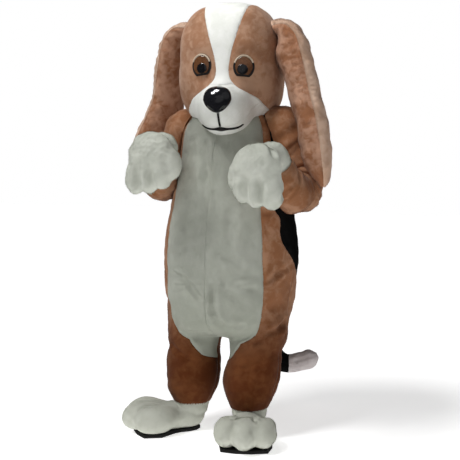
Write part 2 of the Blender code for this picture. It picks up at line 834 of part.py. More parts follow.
# The left ear is fuller on the side that faces the head
EAR_FULL = {"left": 1.0, "right": 0.0}
EAR_ROWS = 18
EAR_ARC = 7


def ear_half(name, word, side, way):
    at, points, tangents, _, _, extra = spine(EAR, EAR_NAMES, EAR_ROWS)
    top_out, low_out, back, rise = EAR_SWING[word]
    low = soft_step((at - 0.08) / 0.62)
    points += np.stack([top_out + (low_out - top_out) * low, back * low, rise * (1 - low)], axis=-1)
    ahead = np.array([math.sin(EAR_SPLAY), -math.cos(EAR_SPLAY), 0.0])
    turn = np.linspace(0, math.pi, EAR_ARC + 1)
    rings = []
    for i in range(EAR_ROWS):
        chord = unit(ahead - tangents[i] * (ahead @ tangents[i]))
        face = np.cross(tangents[i], chord) * way
        wide = extra["chord"][i] / 2
        thick = extra["thick"][i] / 2 + max(way, 0) * EAR_FULL[word] * extra["inward"][i]
        arc = np.cos(turn)[:, None] * wide * chord + np.sin(turn)[:, None] ** 0.8 * thick * face
        rings.append((points[i] + arc + face * SEAM) * np.array([side, 1, 1]))
    made = solid_loft(name, rings, brown)
    cut(made, head_trim)
    return made


for side, word in ((1.0, "left"), (-1.0, "right")):
    ear_half("ear_outer_" + word, word, side, 1.0)
    ear_half("ear_inner_" + word, word, side, -1.0)

# Mitts: three finger lobes and a thumb, hanging from the wrist, on a cuff tucked in the sleeve
HANDS = {"left": (0.292, -0.385, 1.118), "right": (-0.170, -0.385, 1.166)}
CUFF_IN = 0.040
CUFF_OUT = 0.045
BRIDGE_RADIUS = 0.060
BRIDGE_UP = 0.030
HAND_TURN = 1.1
HAND_SINK = 0.75
MITT_FORMS = (
    # middle x, y, z, then half width, half depth, half height; +x is the thumb's side
    ((0.000, 0.000, 0.020), (0.100, 0.060, 0.100)),
    ((-0.068, -0.004, -0.066), (0.044, 0.050, 0.068)),
    ((-0.004, -0.006, -0.062), (0.040, 0.052, 0.066)),
    ((0.052, -0.004, -0.046), (0.040, 0.050, 0.064)),
    ((0.092, 0.016, -0.012), (0.032, 0.042, 0.058)),
)
MITT_BLEND = 0.016
MITT_ROWS = 12
MITT_SIDES = 16
MITT_FAR = 0.4


def keep_out(p, end, ahead, radius):
    """Over zero in the room that a cuff takes behind its own end."""
    along = (p - end) @ ahead
    aside = np.linalg.norm(p - end - along[..., None] * ahead, axis=-1)
    return np.minimum(HEM_GAP - along, radius + CUFF_ROOM - aside)


def mitt(arm):
    side = 1.0 if arm == "right" else -1.0
    hand = np.array(HANDS[arm])
    _, points, tangents, across, other, extra = spine(ARMS[arm], ARM_NAMES, SLEEVE_ROWS)
    end, ahead = points[-1], tangents[-1]
    radius = tucked(extra["radius"][-1], SLEEVE_SIDES)
    knuckle = end + ahead * CUFF_OUT
    forms = [(hand + np.array(middle) * (side, 1, 1), radii) for middle, radii in MITT_FORMS]
    tail = end - ahead * 0.3

    def field(p):
        skin = ellipsoid(p, *forms[0])
        for form in forms[1:]:
            skin = soft_min(skin, ellipsoid(p, *form), MITT_BLEND)
        bridge = capsule(p, knuckle, hand + np.array([0, 0, BRIDGE_UP]), BRIDGE_RADIUS)
        skin = soft_min(skin, bridge, MITT_BLEND)
        skin = np.maximum(skin, keep_out(p, end, ahead, extra["radius"][-1]))
        return soft_min(skin, capsule(p, tail, knuckle, radius), TUCK_BLEND)

    rim = math.atan2(radius, CUFF_OUT + CUFF_IN)
    neck_turn = math.atan2(radius, CUFF_OUT + HEM_GAP)
    tip = np.linspace(neck_turn, math.pi, MITT_ROWS - 1)[1:]
    polar = np.concatenate([[rim, (rim + neck_turn) / 2, neck_turn], tip])
    turn = np.linspace(0, 2 * math.pi, MITT_SIDES, endpoint=False)
    around = np.cos(turn)[:, None] * across[-1] + np.sin(turn)[:, None] * other[-1]
    direction = -np.cos(polar)[None, :, None] * ahead + np.sin(polar)[None, :, None] * around[:, None, :]
    sunk = soft_step((polar - neck_turn) / HAND_TURN)
    origin = knuckle + (sunk[:, None] * (hand - knuckle) * HAND_SINK)[None, :, :]
    outer = cast(field, origin, direction, MITT_FAR)
    inner = outer - CLOTH * outward(field, outer)
    return solid_grid("mitt_" + arm, outer, inner, white, ring=True)


mitt("left")
mitt("right")

# Boots: a plush upper with three toe lobes over a thin black sole
SOLE_THICK = 0.012
BOOT_OUT = {"left": math.radians(19), "right": math.radians(47)}
BOOT_FORMS = (
    # middle x, y, z from the ankle's foot, then half width, half depth, half height
    ((0.000, -0.020, 0.062), (0.068, 0.074, 0.060)),
    ((0.000, -0.095, 0.062), (0.080, 0.105, 0.060)),
    ((-0.076, -0.184, 0.070), (0.052, 0.092, 0.062)),
    ((0.000, -0.216, 0.072), (0.052, 0.096, 0.066)),
    ((0.076, -0.184, 0.070), (0.052, 0.092, 0.062)),
)
BOOT_BLEND = 0.022
BOOT_SIDES = 18
SOLE_BAND = -0.006
ANKLE_FOOT = 0.115
CUFF_TOP = 0.200
ANKLE = tucked(float(LEG["radius"][0]), 2 * LEG_COLS)


def boot(side, word):
    """The upper, cast from the middle of the foot, and its sole from the same outline."""
    base = np.array([side * float(LEG["side"][0]), float(LEG["middle_y"][0]), 0.0])
    splay = BOOT_OUT[word] * side
    turn_out = np.array(
        [
            [math.cos(splay), -math.sin(splay), 0],
            [math.sin(splay), math.cos(splay), 0],
            [0, 0, 1],
        ]
    )
    floor = SOLE_THICK + 2 * SEAM

    def field(p):
        skin = ellipsoid(p, np.array(BOOT_FORMS[0][0]), BOOT_FORMS[0][1])
        for middle, radii in BOOT_FORMS[1:]:
            skin = soft_min(skin, ellipsoid(p, np.array(middle), radii), BOOT_BLEND)
        skin = np.maximum(skin, keep_out(p, np.array([0, 0, HEM]), np.array([0, 0, -1.0]), LEG["radius"][0]))
        ankle = capsule(p, np.array([0, 0, ANKLE_FOOT]), np.array([0, 0, 0.4]), ANKLE)
        skin = soft_min(skin, ankle, TUCK_BLEND)
        return -soft_min(-skin, p[..., 2] - floor, 0.010)

    heart = np.array([0.0, -0.02, 0.075])
    turn = np.linspace(0, 2 * math.pi, BOOT_SIDES, endpoint=False)
    around = np.stack([np.cos(turn), np.sin(turn), np.zeros_like(turn)], axis=-1)
    ahead = around @ heart - around[:, 2] * heart[2]
    to_cuff = np.sqrt(ahead**2 + ANKLE**2 - heart[1] ** 2) - ahead
    top_lean = np.arctan2(to_cuff, CUFF_TOP - heart[2])
    hem_lean = np.arctan2(to_cuff, HEM - 2.5 * HEM_GAP - heart[2])
    down = np.array([0.0, 0.08, 0.18, 0.29, 0.40, 0.52, 0.70, 1.0])
    below = hem_lean[:, None] + (math.pi - hem_lean)[:, None] * down
    lean = np.concatenate([top_lean[:, None], (top_lean + hem_lean)[:, None] / 2, below], axis=1)
    direction = np.sin(lean)[..., None] * around[:, None, :]
    direction[..., 2] = np.cos(lean)
    outer = cast(field, heart, direction, 0.4)
    inner = outer - CLOTH * outward(field, outer)
    solid_grid("boot_" + word, base + outer @ turn_out.T, base + inner @ turn_out.T, white, ring=True)

    flat = np.stack([np.cos(turn), np.sin(turn), np.zeros_like(turn)], axis=-1)
    edge = cast(field, np.array([0.0, -0.07, 0.030]), flat, 0.4)
    edge = edge + flat * SOLE_BAND
    rings = []
    for height in (0.0, SOLE_THICK):
        ring = edge.copy()
        ring[:, 2] = height
        rings.append(base + ring @ turn_out.T)
    solid_loft("sole_" + word, rings, material("black rubber", BLACK, 0.6))


boot(1.0, "left")
boot(-1.0, "right")

# Tail: a stuffed tube, black then white at its tip
TAIL_NAMES = ("x", "y", "height", "radius")
TAIL = (
    (0.000, 0.180, 0.640, 0.046),
    (0.000, 0.262, 0.590, 0.046),
    (0.000, 0.325, 0.472, 0.045),
    (0.010, 0.360, 0.348, 0.044),
    (0.045, 0.378, 0.252, 0.043),
    (0.105, 0.392, 0.208, 0.043),
    (0.175, 0.420, 0.216, 0.043),
    (0.227, 0.440, 0.236, 0.037),
    (0.247, 0.448, 0.246, 0.015),
)
TAIL_ROWS = 21
TAIL_SPLIT = 16
TAIL_SIDES = 12


def tail_rings():
    _, points, tangents, across, other, extra = spine(TAIL, TAIL_NAMES, TAIL_ROWS)
    turn = np.linspace(0, 2 * math.pi, TAIL_SIDES, endpoint=False)
    ring = np.cos(turn)[None, :, None] * across[:, None, :] + np.sin(turn)[None, :, None] * other[:, None, :]
    return points[:, None, :] + extra["radius"][:, None, None] * ring, tangents


tail, tail_ways = tail_rings()
tail_base = solid_loft("tail_base", list(tail[: TAIL_SPLIT + 1]), black)
cut(tail_base, torso_core)
tip = tail[TAIL_SPLIT:].copy()
tip[0] += 2 * SEAM * tail_ways[TAIL_SPLIT]
solid_loft("tail_tip", list(tip), white)
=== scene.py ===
import math

import bpy
import numpy as np
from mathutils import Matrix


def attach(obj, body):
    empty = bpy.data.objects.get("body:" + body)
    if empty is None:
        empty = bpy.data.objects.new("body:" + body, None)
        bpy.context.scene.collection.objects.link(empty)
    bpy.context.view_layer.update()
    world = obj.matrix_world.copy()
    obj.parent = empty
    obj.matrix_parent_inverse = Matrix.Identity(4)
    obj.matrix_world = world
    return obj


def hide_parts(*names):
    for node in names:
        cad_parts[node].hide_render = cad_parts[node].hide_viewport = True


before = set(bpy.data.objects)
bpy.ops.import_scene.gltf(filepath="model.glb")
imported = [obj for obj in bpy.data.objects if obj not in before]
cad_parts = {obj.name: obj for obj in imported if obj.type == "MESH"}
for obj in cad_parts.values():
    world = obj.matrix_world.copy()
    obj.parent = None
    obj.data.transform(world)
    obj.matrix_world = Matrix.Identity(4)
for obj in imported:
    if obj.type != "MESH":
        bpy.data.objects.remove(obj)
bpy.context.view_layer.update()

# Suit body: the belly, flank, seat and back panels of a jumpsuit in short plush pile, sewn edge to edge
# and filled out by the wearer. Heights are above the floor, and the shoulders hang at 1.42 m. The soft
# creases lie where the cloth breaks over the thighs, the belly and the crotch.
SHOULDERS = np.array([0.0, 0.0, 1.42])
CLOTH = 0.003
SEAM = 0.00015
PROBE = 0.0005
HAIR = 1e-9
CAST_STEPS = 30


def columns(names, rows):
    values = np.array(rows, dtype=float)
    order = np.argsort(values[:, 0])
    return {name: values[order, i] for i, name in enumerate(names)}


def read(table, name, at):
    """A column's value at a place along the first column, on a smooth curve through the rows."""
    xs = next(iter(table.values()))
    ys = table[name]
    slope = np.gradient(ys, xs)
    at = np.clip(at, xs[0], xs[-1])
    i = np.clip(np.searchsorted(xs, at, side="right") - 1, 0, len(xs) - 2)
    step = xs[i + 1] - xs[i]
    t = (at - xs[i]) / step
    rise = t * t * (3 - 2 * t)
    bend_in = t * (1 - t) ** 2 * step * slope[i]
    bend_out = t * t * (t - 1) * step * slope[i + 1]
    return ys[i] * (1 - rise) + ys[i + 1] * rise + bend_in + bend_out


def soft_min(a, b, reach):
    mix = np.maximum(reach - np.abs(a - b), 0) / reach
    return np.minimum(a, b) - mix * mix * reach / 4


def soft_step(t):
    t = np.clip(t, 0, 1)
    return t * t * (3 - 2 * t)


def unit(v):
    return v / np.maximum(np.linalg.norm(v, axis=-1, keepdims=True), HAIR)


def cast(field, origin, direction, far):
    near = np.zeros(direction.shape[:-1])
    out = near + far
    for _ in range(CAST_STEPS):
        middle = (near + out) / 2
        inside = field(origin + middle[..., None] * direction) < 0
        near = np.where(inside, middle, near)
        out = np.where(inside, out, middle)
    return origin + near[..., None] * direction


def outward(field, p):
    slope = np.empty_like(p)
    for axis in range(3):
        step = np.zeros(3)
        step[axis] = PROBE
        slope[..., axis] = field(p + step) - field(p - step)
    return unit(slope)


def ellipsoid(p, centre, radii, power=2.0):
    q = np.abs((p - centre) / radii)
    return ((q**power).sum(axis=-1) ** (1 / power) - 1) * min(radii)


def ripple(p, size, seed):
    """Soft unevenness of a given size over the cloth, from minus one to one."""
    rng = np.random.default_rng(seed)
    waves = rng.normal(size=(9, 3))
    waves = unit(waves) * rng.uniform(0.7, 1.5, (9, 1)) * 2 * math.pi / size
    phases = rng.uniform(0, 2 * math.pi, 9)
    total = np.zeros(p.shape[:-1])
    for wave, phase in zip(waves, phases):
        total = total + np.sin(p @ wave + phase)
    return np.clip(total / 3.6, -1, 1)


def uneven(p, rows, seed):
    """The sum of ripples of given depths and sizes."""
    return sum(depth * ripple(p, size, seed + i) for i, (depth, size) in enumerate(rows))


def creases(p, rows):
    """Troughs with a soft ridge on each side, along short lines on the cloth."""
    lift = np.zeros(p.shape[:-1])
    for start, end, width, depth in rows:
        start, end = np.array(start), np.array(end)
        line = end - start
        t = np.clip(((p - start) @ line) / (line @ line), 0, 1)
        off = np.linalg.norm(p - start - t[..., None] * line, axis=-1) / width
        fade = np.sin(math.pi * np.clip(0.15 + 0.7 * t, 0, 1))
        lift = lift - depth * fade * (np.exp(-(off**2)) - 0.45 * np.exp(-((off - 1.9) ** 2)))
    return lift


def faces_of(shape, ring=False, keep=None):
    """The cells of a grid of points as corners, and the edges that only one cell has."""
    rows, cols = shape
    index = np.arange(rows * cols).reshape(rows, cols)
    if ring:
        index = np.concatenate([index, index[:1]])
    cells = np.stack([index[:-1, :-1], index[:-1, 1:], index[1:, 1:], index[1:, :-1]], axis=-1)
    cells = cells.reshape(-1, 4) if keep is None else cells[keep]
    edges = np.concatenate([cells[:, [i, (i + 1) % 4]] for i in range(4)])
    code = edges[:, 0] * rows * cols + edges[:, 1]
    back = edges[:, 1] * rows * cols + edges[:, 0]
    return cells, edges[~np.isin(code, back)]


UNDER_PILE = 0.35


def worn(name, mesh, look, pile_height):
    """An object of the suit's one body, with how far up the pile each of its points is."""
    height = mesh.attributes.new("pile", "FLOAT", "POINT")
    height.data.foreach_set("value", pile_height)
    mesh.materials.append(look)
    item = bpy.data.objects.new(name, mesh)
    bpy.context.scene.collection.objects.link(item)
    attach(item, "root")
    return item


def piece(name, verts, faces, look, nodes):
    """A mesh from points above the floor, riding on the suit in place of its solids."""
    used, faces = np.unique(faces, return_inverse=True)
    mesh = bpy.data.meshes.new(name)
    mesh.from_pydata((verts[used] - SHOULDERS).tolist(), [], faces.reshape(-1, 4).tolist())
    mesh.shade_smooth()
    item = worn(name, mesh, look, np.full(len(used), UNDER_PILE))
    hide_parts(*nodes)
    return item


def cloth(name, skin, lining, look, nodes, ring=False, keep=None):
    """A closed cloth wall between its plush face and its lining."""
    cells, rim = faces_of(skin.shape[:2], ring, keep)
    count = skin.shape[0] * skin.shape[1]
    low = cells[:, ::-1] + count
    edge = np.stack([rim[:, 1], rim[:, 0], rim[:, 0] + count, rim[:, 1] + count], axis=-1)
    points = np.concatenate([skin.reshape(-1, 3), lining.reshape(-1, 3)])
    return piece(name, points, np.concatenate([cells, low, edge]), look, nodes)


def facing(skin, like, ring=False):
    """Normals of a grid of points, on the side that the given directions lie."""
    if ring:
        wide = np.concatenate([skin[-1:], skin, skin[:1]])
        down = (wide[2:] - wide[:-2]) / 2
    else:
        down = np.gradient(skin, axis=0)
    normal = np.cross(down, np.gradient(skin, axis=1))
    thin = np.linalg.norm(normal, axis=-1, keepdims=True) < 1e-11
    normal = np.where(thin, like, unit(normal))
    flip = np.where((normal * like).sum(axis=-1, keepdims=True) < 0, -1.0, 1.0)
    return unit(normal * flip)


PILE_PER_M2 = 112000
PILE_WIDE, PILE_LIE, PILE_SUNK, PILE_CLUMP = 0.0021, 0.26, 0.0006, 0.0005
SWIRLS = ((0.60, 0.13), (0.35, 0.05))
STRAY, LIE_CHANGE, SHADE_LEAN = 0.20, 0.06, 0.16


def no_place(p):
    return p


def pile(name, skin, normal, look, length, comb, seed, ring=False, keep=None, bare=None, place=no_place):
    """Short plush tufts over a grid of cloth, combed one way with soft swirls where hands have worked it."""
    rng = np.random.default_rng(seed)
    cells, _ = faces_of(skin.shape[:2], ring, keep)
    points, ways = skin.reshape(-1, 3), normal.reshape(-1, 3)
    a, b, c, d = (points[cells[:, i]] for i in range(4))
    area = 0.5 * np.linalg.norm(np.cross(c - a, d - b), axis=-1)
    count = int(area.sum() * PILE_PER_M2)
    reach = np.cumsum(area)
    pick = np.searchsorted(reach, (np.arange(count) + rng.uniform(0, 1, count)) / count * reach[-1])
    pick = np.clip(pick, 0, len(cells) - 1)
    u, v = rng.uniform(0, 1, (2, count, 1))

    def spread(values):
        w, x, y, z = (values[cells[pick, i]] for i in range(4))
        return w * (1 - u) * (1 - v) + x * (1 - u) * v + y * u * v + z * u * (1 - v)

    root, up = spread(points), unit(spread(ways))
    if bare is not None:
        stay = bare(root)
        root, up, length = root[stay > 0], up[stay > 0], length * stay[stay > 0]
        count = len(root)
    way = comb(root, up) if callable(comb) else np.broadcast_to(np.array(comb, dtype=float), root.shape)
    way = unit(way - up * (way * up).sum(axis=-1, keepdims=True))
    (broad, broad_size), (small, small_size) = SWIRLS
    swirl = broad * ripple(root, broad_size, seed + 1) + small * ripple(root, small_size, seed + 2)
    swirl = swirl + rng.normal(0, STRAY, count)
    across = np.cross(up, way)
    way = way * np.cos(swirl)[:, None] + across * np.sin(swirl)[:, None]
    across = np.cross(up, way)
    lie = PILE_LIE + 0.08 * ripple(root, 0.06, seed + 3) + rng.normal(0, LIE_CHANGE, count)
    long = length * rng.uniform(0.75, 1.2, count)
    clump = np.stack([ripple(root, 0.014, seed + 4), ripple(root, 0.014, seed + 5)], axis=-1) * PILE_CLUMP
    tip = root + long[:, None] * (np.cos(lie)[:, None] * way + np.sin(lie)[:, None] * up)
    tip = tip + clump[:, :1] * way + clump[:, 1:] * across
    half = across * PILE_WIDE / 2
    base = root - up * PILE_SUNK
    points = place(np.stack([base + half, base - half, tip], axis=1).reshape(-1, 3)) - SHOULDERS
    shade = unit(up + way * SHADE_LEAN + rng.normal(0, LIE_CHANGE, (count, 3)))
    shade = place(root + shade) - place(root)
    mesh = bpy.data.meshes.new(name)
    mesh.vertices.add(3 * count)
    mesh.vertices.foreach_set("co", points.ravel())
    mesh.loops.add(3 * count)
    mesh.loops.foreach_set("vertex_index", np.arange(3 * count))
    mesh.polygons.add(count)
    mesh.polygons.foreach_set("loop_start", np.arange(count) * 3)
    mesh.update(calc_edges=True)
    mesh.shade_smooth()
    mesh.normals_split_custom_set_from_vertices(np.repeat(shade, 3, axis=0))
    tone = np.stack([np.zeros(count), np.zeros(count), 0.75 + 0.25 * rng.uniform(-1, 1, count)], axis=-1)
    return worn(name, mesh, look, tone.ravel())


# Size and detail of the pile's broad, small and finest unevenness
PILE_NOISES = ((8.0, 2.0), (34.0, 3.0), (420.0, 2.0))


def plush_pattern():
    """Plush colour: darker at the roots, paler at the tips, paler again in patches of painted sheen where the
    nap is stroked up, and darker lower down, a painted shade.
    """
    group = bpy.data.node_groups.new("plush pile", "ShaderNodeTree")
    for name, kind in (("Root", "NodeSocketColor"), ("Tip", "NodeSocketColor"), ("Brushed Sheen", "NodeSocketColor"),
                       ("Painted Shade", "NodeSocketColor"), ("Sheen Base Share", "NodeSocketFloat"),
                       ("Patch", "NodeSocketFloat"), ("Deep From", "NodeSocketFloat"),
                       ("Deep To", "NodeSocketFloat")):
        group.interface.new_socket(name=name, in_out="INPUT", socket_type=kind)
    group.interface.new_socket(name="Color", in_out="OUTPUT", socket_type="NodeSocketColor")
    group.interface.new_socket(name="Height", in_out="OUTPUT", socket_type="NodeSocketFloat")
    link = group.links.new
    given, out = group.nodes.new("NodeGroupInput"), group.nodes.new("NodeGroupOutput")
    place = group.nodes.new("ShaderNodeTexCoord")

    def add(kind, links, **settings):
        """A node with its settings, fed by links to its named or numbered inputs."""
        node = group.nodes.new(kind)
        for name, value in settings.items():
            setattr(node, name, value)
        for socket, source in links.items():
            if hasattr(source, "is_output"):
                link(source, node.inputs[socket])
            else:
                node.inputs[socket].default_value = source
        return node

    # Soft patches of painted sheen, paler where the nap is stroked up
    noises = []
    for size, detail in PILE_NOISES:
        noise = add("ShaderNodeTexNoise", {"Scale": size, "Detail": detail, "Distortion": 0.6,
                                           "Vector": place.outputs["Object"]})
        noises.append(noise.outputs["Fac"])
    fine = add("ShaderNodeMath", {0: noises[1], 1: 0.45}, operation="MULTIPLY")
    broad = add("ShaderNodeMath", {0: noises[0], 1: 0.55, 2: fine.outputs[0]}, operation="MULTIPLY_ADD")
    ramp = add("ShaderNodeMapRange", {"Value": broad.outputs[0], "From Min": 0.40, "From Max": 0.62},
               interpolation_type="SMOOTHSTEP")
    # The share of painted sheen: the patches, plus an even share over all
    sheen_share = add("ShaderNodeMath", {0: ramp.outputs["Result"], 1: given.outputs["Patch"],
                                     2: given.outputs["Sheen Base Share"]}, operation="MULTIPLY_ADD")
    tall = add("ShaderNodeAttribute", {}, attribute_name="pile")
    body = add("ShaderNodeMix", {}, data_type="RGBA")
    brushed_sheen = add("ShaderNodeMix", {}, data_type="RGBA")
    shaded = add("ShaderNodeMix", {}, data_type="RGBA", blend_type="MULTIPLY")
    # Painted shade: the colour is multiplied darker between two heights, lower down the body
    part = add("ShaderNodeSeparateXYZ", {"Vector": place.outputs["Object"]})
    low = add("ShaderNodeMapRange", {"Value": part.outputs["Z"], "From Min": given.outputs["Deep From"],
                                     "From Max": given.outputs["Deep To"]}, interpolation_type="SMOOTHSTEP")
    for node, share, under, over in (
        (body, tall.outputs["Fac"], given.outputs["Root"], given.outputs["Tip"]),
        (brushed_sheen, sheen_share.outputs[0], body.outputs["Result"], given.outputs["Brushed Sheen"]),
        (shaded, low.outputs["Result"], brushed_sheen.outputs["Result"], given.outputs["Painted Shade"]),
    ):
        link(share, node.inputs["Factor"])
        link(under, node.inputs["A"])
        link(over, node.inputs["B"])
    link(shaded.outputs["Result"], out.inputs["Color"])
    link(noises[2], out.inputs["Height"])
    return group


pattern = plush_pattern()


def plush(name, root, tip, brushed_sheen, sheen_base_share=0.0, patch=0.5, sheen=0.12, deep=(1, 1, 1), painted_shade_from=-0.80,
          painted_shade_to=-1.15):
    look = bpy.data.materials.new(name)
    look.use_nodes = True
    nodes, link = look.node_tree.nodes, look.node_tree.links.new
    shader = nodes["Principled BSDF"]
    fur = nodes.new("ShaderNodeGroup")
    fur.node_tree = pattern
    # The third colour is the pale colour of the painted sheen
    for socket, colour in (("Root", root), ("Tip", tip), ("Brushed Sheen", brushed_sheen), ("Painted Shade", deep)):
        fur.inputs[socket].default_value = (*colour, 1)
    # The fourth colour and the two heights set a painted shade, darker towards the floor
    values = {"Deep From": painted_shade_from, "Deep To": painted_shade_to, "Sheen Base Share": sheen_base_share, "Patch": patch}
    for socket, value in values.items():
        fur.inputs[socket].default_value = value
    nap = nodes.new("ShaderNodeBump")
    nap.inputs["Strength"].default_value = 0.15
    nap.inputs["Distance"].default_value = 0.0012
    link(fur.outputs["Height"], nap.inputs["Height"])
    link(nap.outputs["Normal"], shader.inputs["Normal"])
    link(fur.outputs["Color"], shader.inputs["Base Color"])
    shader.inputs["Roughness"].default_value = 0.92
    shader.inputs["Specular IOR Level"].default_value = 0.10
    shader.inputs["Sheen Weight"].default_value = sheen
    shader.inputs["Sheen Roughness"].default_value = 0.45
    return look


# Root, tip and painted sheen colours of the suit's plush
WHITE = dict(root=(0.40, 0.415, 0.36), tip=(0.46, 0.475, 0.41), brushed_sheen=(0.53, 0.54, 0.485))
BROWN = dict(root=(0.27, 0.112, 0.050), tip=(0.38, 0.175, 0.085), brushed_sheen=(0.60, 0.37, 0.24))
BLACK = dict(root=(0.003, 0.003, 0.003), tip=(0.006, 0.006, 0.006), brushed_sheen=(0.014, 0.013, 0.014))
# The suit's white and brown plush are multiplied darker towards the floor, a painted shade on the legs under
# the belly
white_plush = plush("white plush", **WHITE, patch=0.3, deep=(0.92, 0.93, 0.90), painted_shade_from=-0.60, painted_shade_to=-1.05)
brown_plush = plush("brown plush", **BROWN, patch=0.45, deep=(0.36, 0.22, 0.12), painted_shade_from=-0.76, painted_shade_to=-1.10)
black_plush = plush("black plush", **BLACK, patch=0.3, sheen=0.0)

TORSO = columns(
    ("height", "half_width", "half_depth"),
    (
        (0.400, 0.030, 0.020), (0.420, 0.110, 0.085), (0.445, 0.180, 0.152), (0.480, 0.232, 0.198),
        (0.540, 0.270, 0.230), (0.620, 0.287, 0.246), (0.700, 0.292, 0.252), (0.800, 0.293, 0.254),
        (0.900, 0.280, 0.246), (1.000, 0.260, 0.232), (1.100, 0.240, 0.212), (1.200, 0.230, 0.190),
        (1.270, 0.222, 0.172), (1.325, 0.206, 0.156), (1.358, 0.182, 0.144), (1.374, 0.160, 0.133),
        (1.382, 0.140, 0.122),
    ),
)
LEG = columns(
    ("height", "side", "radius", "middle_y"),
    (
        (0.126, 0.137, 0.0800, -0.102), (0.150, 0.138, 0.0920, -0.100), (0.185, 0.138, 0.1080, -0.094),
        (0.250, 0.138, 0.1200, -0.080), (0.300, 0.143, 0.1180, -0.067), (0.345, 0.149, 0.1140, -0.056),
        (0.400, 0.149, 0.1220, -0.042), (0.480, 0.143, 0.1300, -0.022), (0.600, 0.130, 0.1100, 0.000),
        (0.800, 0.120, 0.0800, 0.012), (1.000, 0.110, 0.0500, 0.020), (1.382, 0.100, 0.0300, 0.030),
    ),
)
FOLDS = (
    # side_x, front_y, height, half_length, half_width, depth, slope
    (0.100, -0.16, 0.415, 0.080, 0.020, 0.010, 0.35),
    (0.160, -0.17, 0.300, 0.070, 0.018, 0.006, -0.20),
    (0.230, -0.06, 0.350, 0.080, 0.020, 0.007, 0.30),
    (0.240, -0.08, 0.560, 0.090, 0.024, 0.008, 0.45),
    (0.150, 0.10, 0.400, 0.090, 0.022, 0.008, -0.30),
    (0.180, -0.12, 0.205, 0.080, 0.016, 0.006, 0.15),
)
SEAMS = columns(
    ("height", "bib", "saddle"),
    (
        (0.315, 0.012, 1.000), (0.330, 0.100, 1.000), (0.355, 0.152, 1.000), (0.390, 0.197, 1.000),
        (0.430, 0.224, 1.000), (0.500, 0.254, 0.990), (0.560, 0.274, 0.840), (0.650, 0.288, 0.640),
        (0.750, 0.289, 0.490), (0.850, 0.289, 0.395), (0.930, 0.289, 0.400), (1.000, 0.292, 0.350),
        (1.200, 0.335, 0.390), (1.382, 0.350, 0.400),
    ),
)
TORSO_POWER, LEG_BLEND = 2.15, 0.055
SEAT_BOTTOM, SEAT_RISE = 0.428, 1.6
AXIS_OUT, AXIS_IN, SUIT_FAR = 0.80, 0.44, 0.55
NECK_TOP, BIB_TIP, SADDLE_TIP, SEAT_TIP = 1.382, 0.315, 0.500, 0.780
OUTSEAM, TIP_SHARE, TIP_STEP, HEM = 0.5, 0.010, 0.006, 0.126
WEAVE_STEP, CROTCH_STEP, CROTCH_BELOW, CROTCH_ABOVE, LEAST_STEP = 0.0085, 0.003, 0.006, 0.012, 0.0012
GIRTH_SHARE, GIRTH_MORE = 0.75, 0.08
SUIT_PILE, MITT_PILE, CUT_SLACK = 0.0072, 0.0066, 0.002
SEAM_PULL, MIDDLE_FLAT = 0.0030, 0.006
# Depth and size of the ripples over the suit's panels
SUIT_UNEVEN = ((0.0022, 0.11), (0.0010, 0.045))
# How far the middle seam's edges slant, so that no light shows through
SEAM_LAP = 0.0012
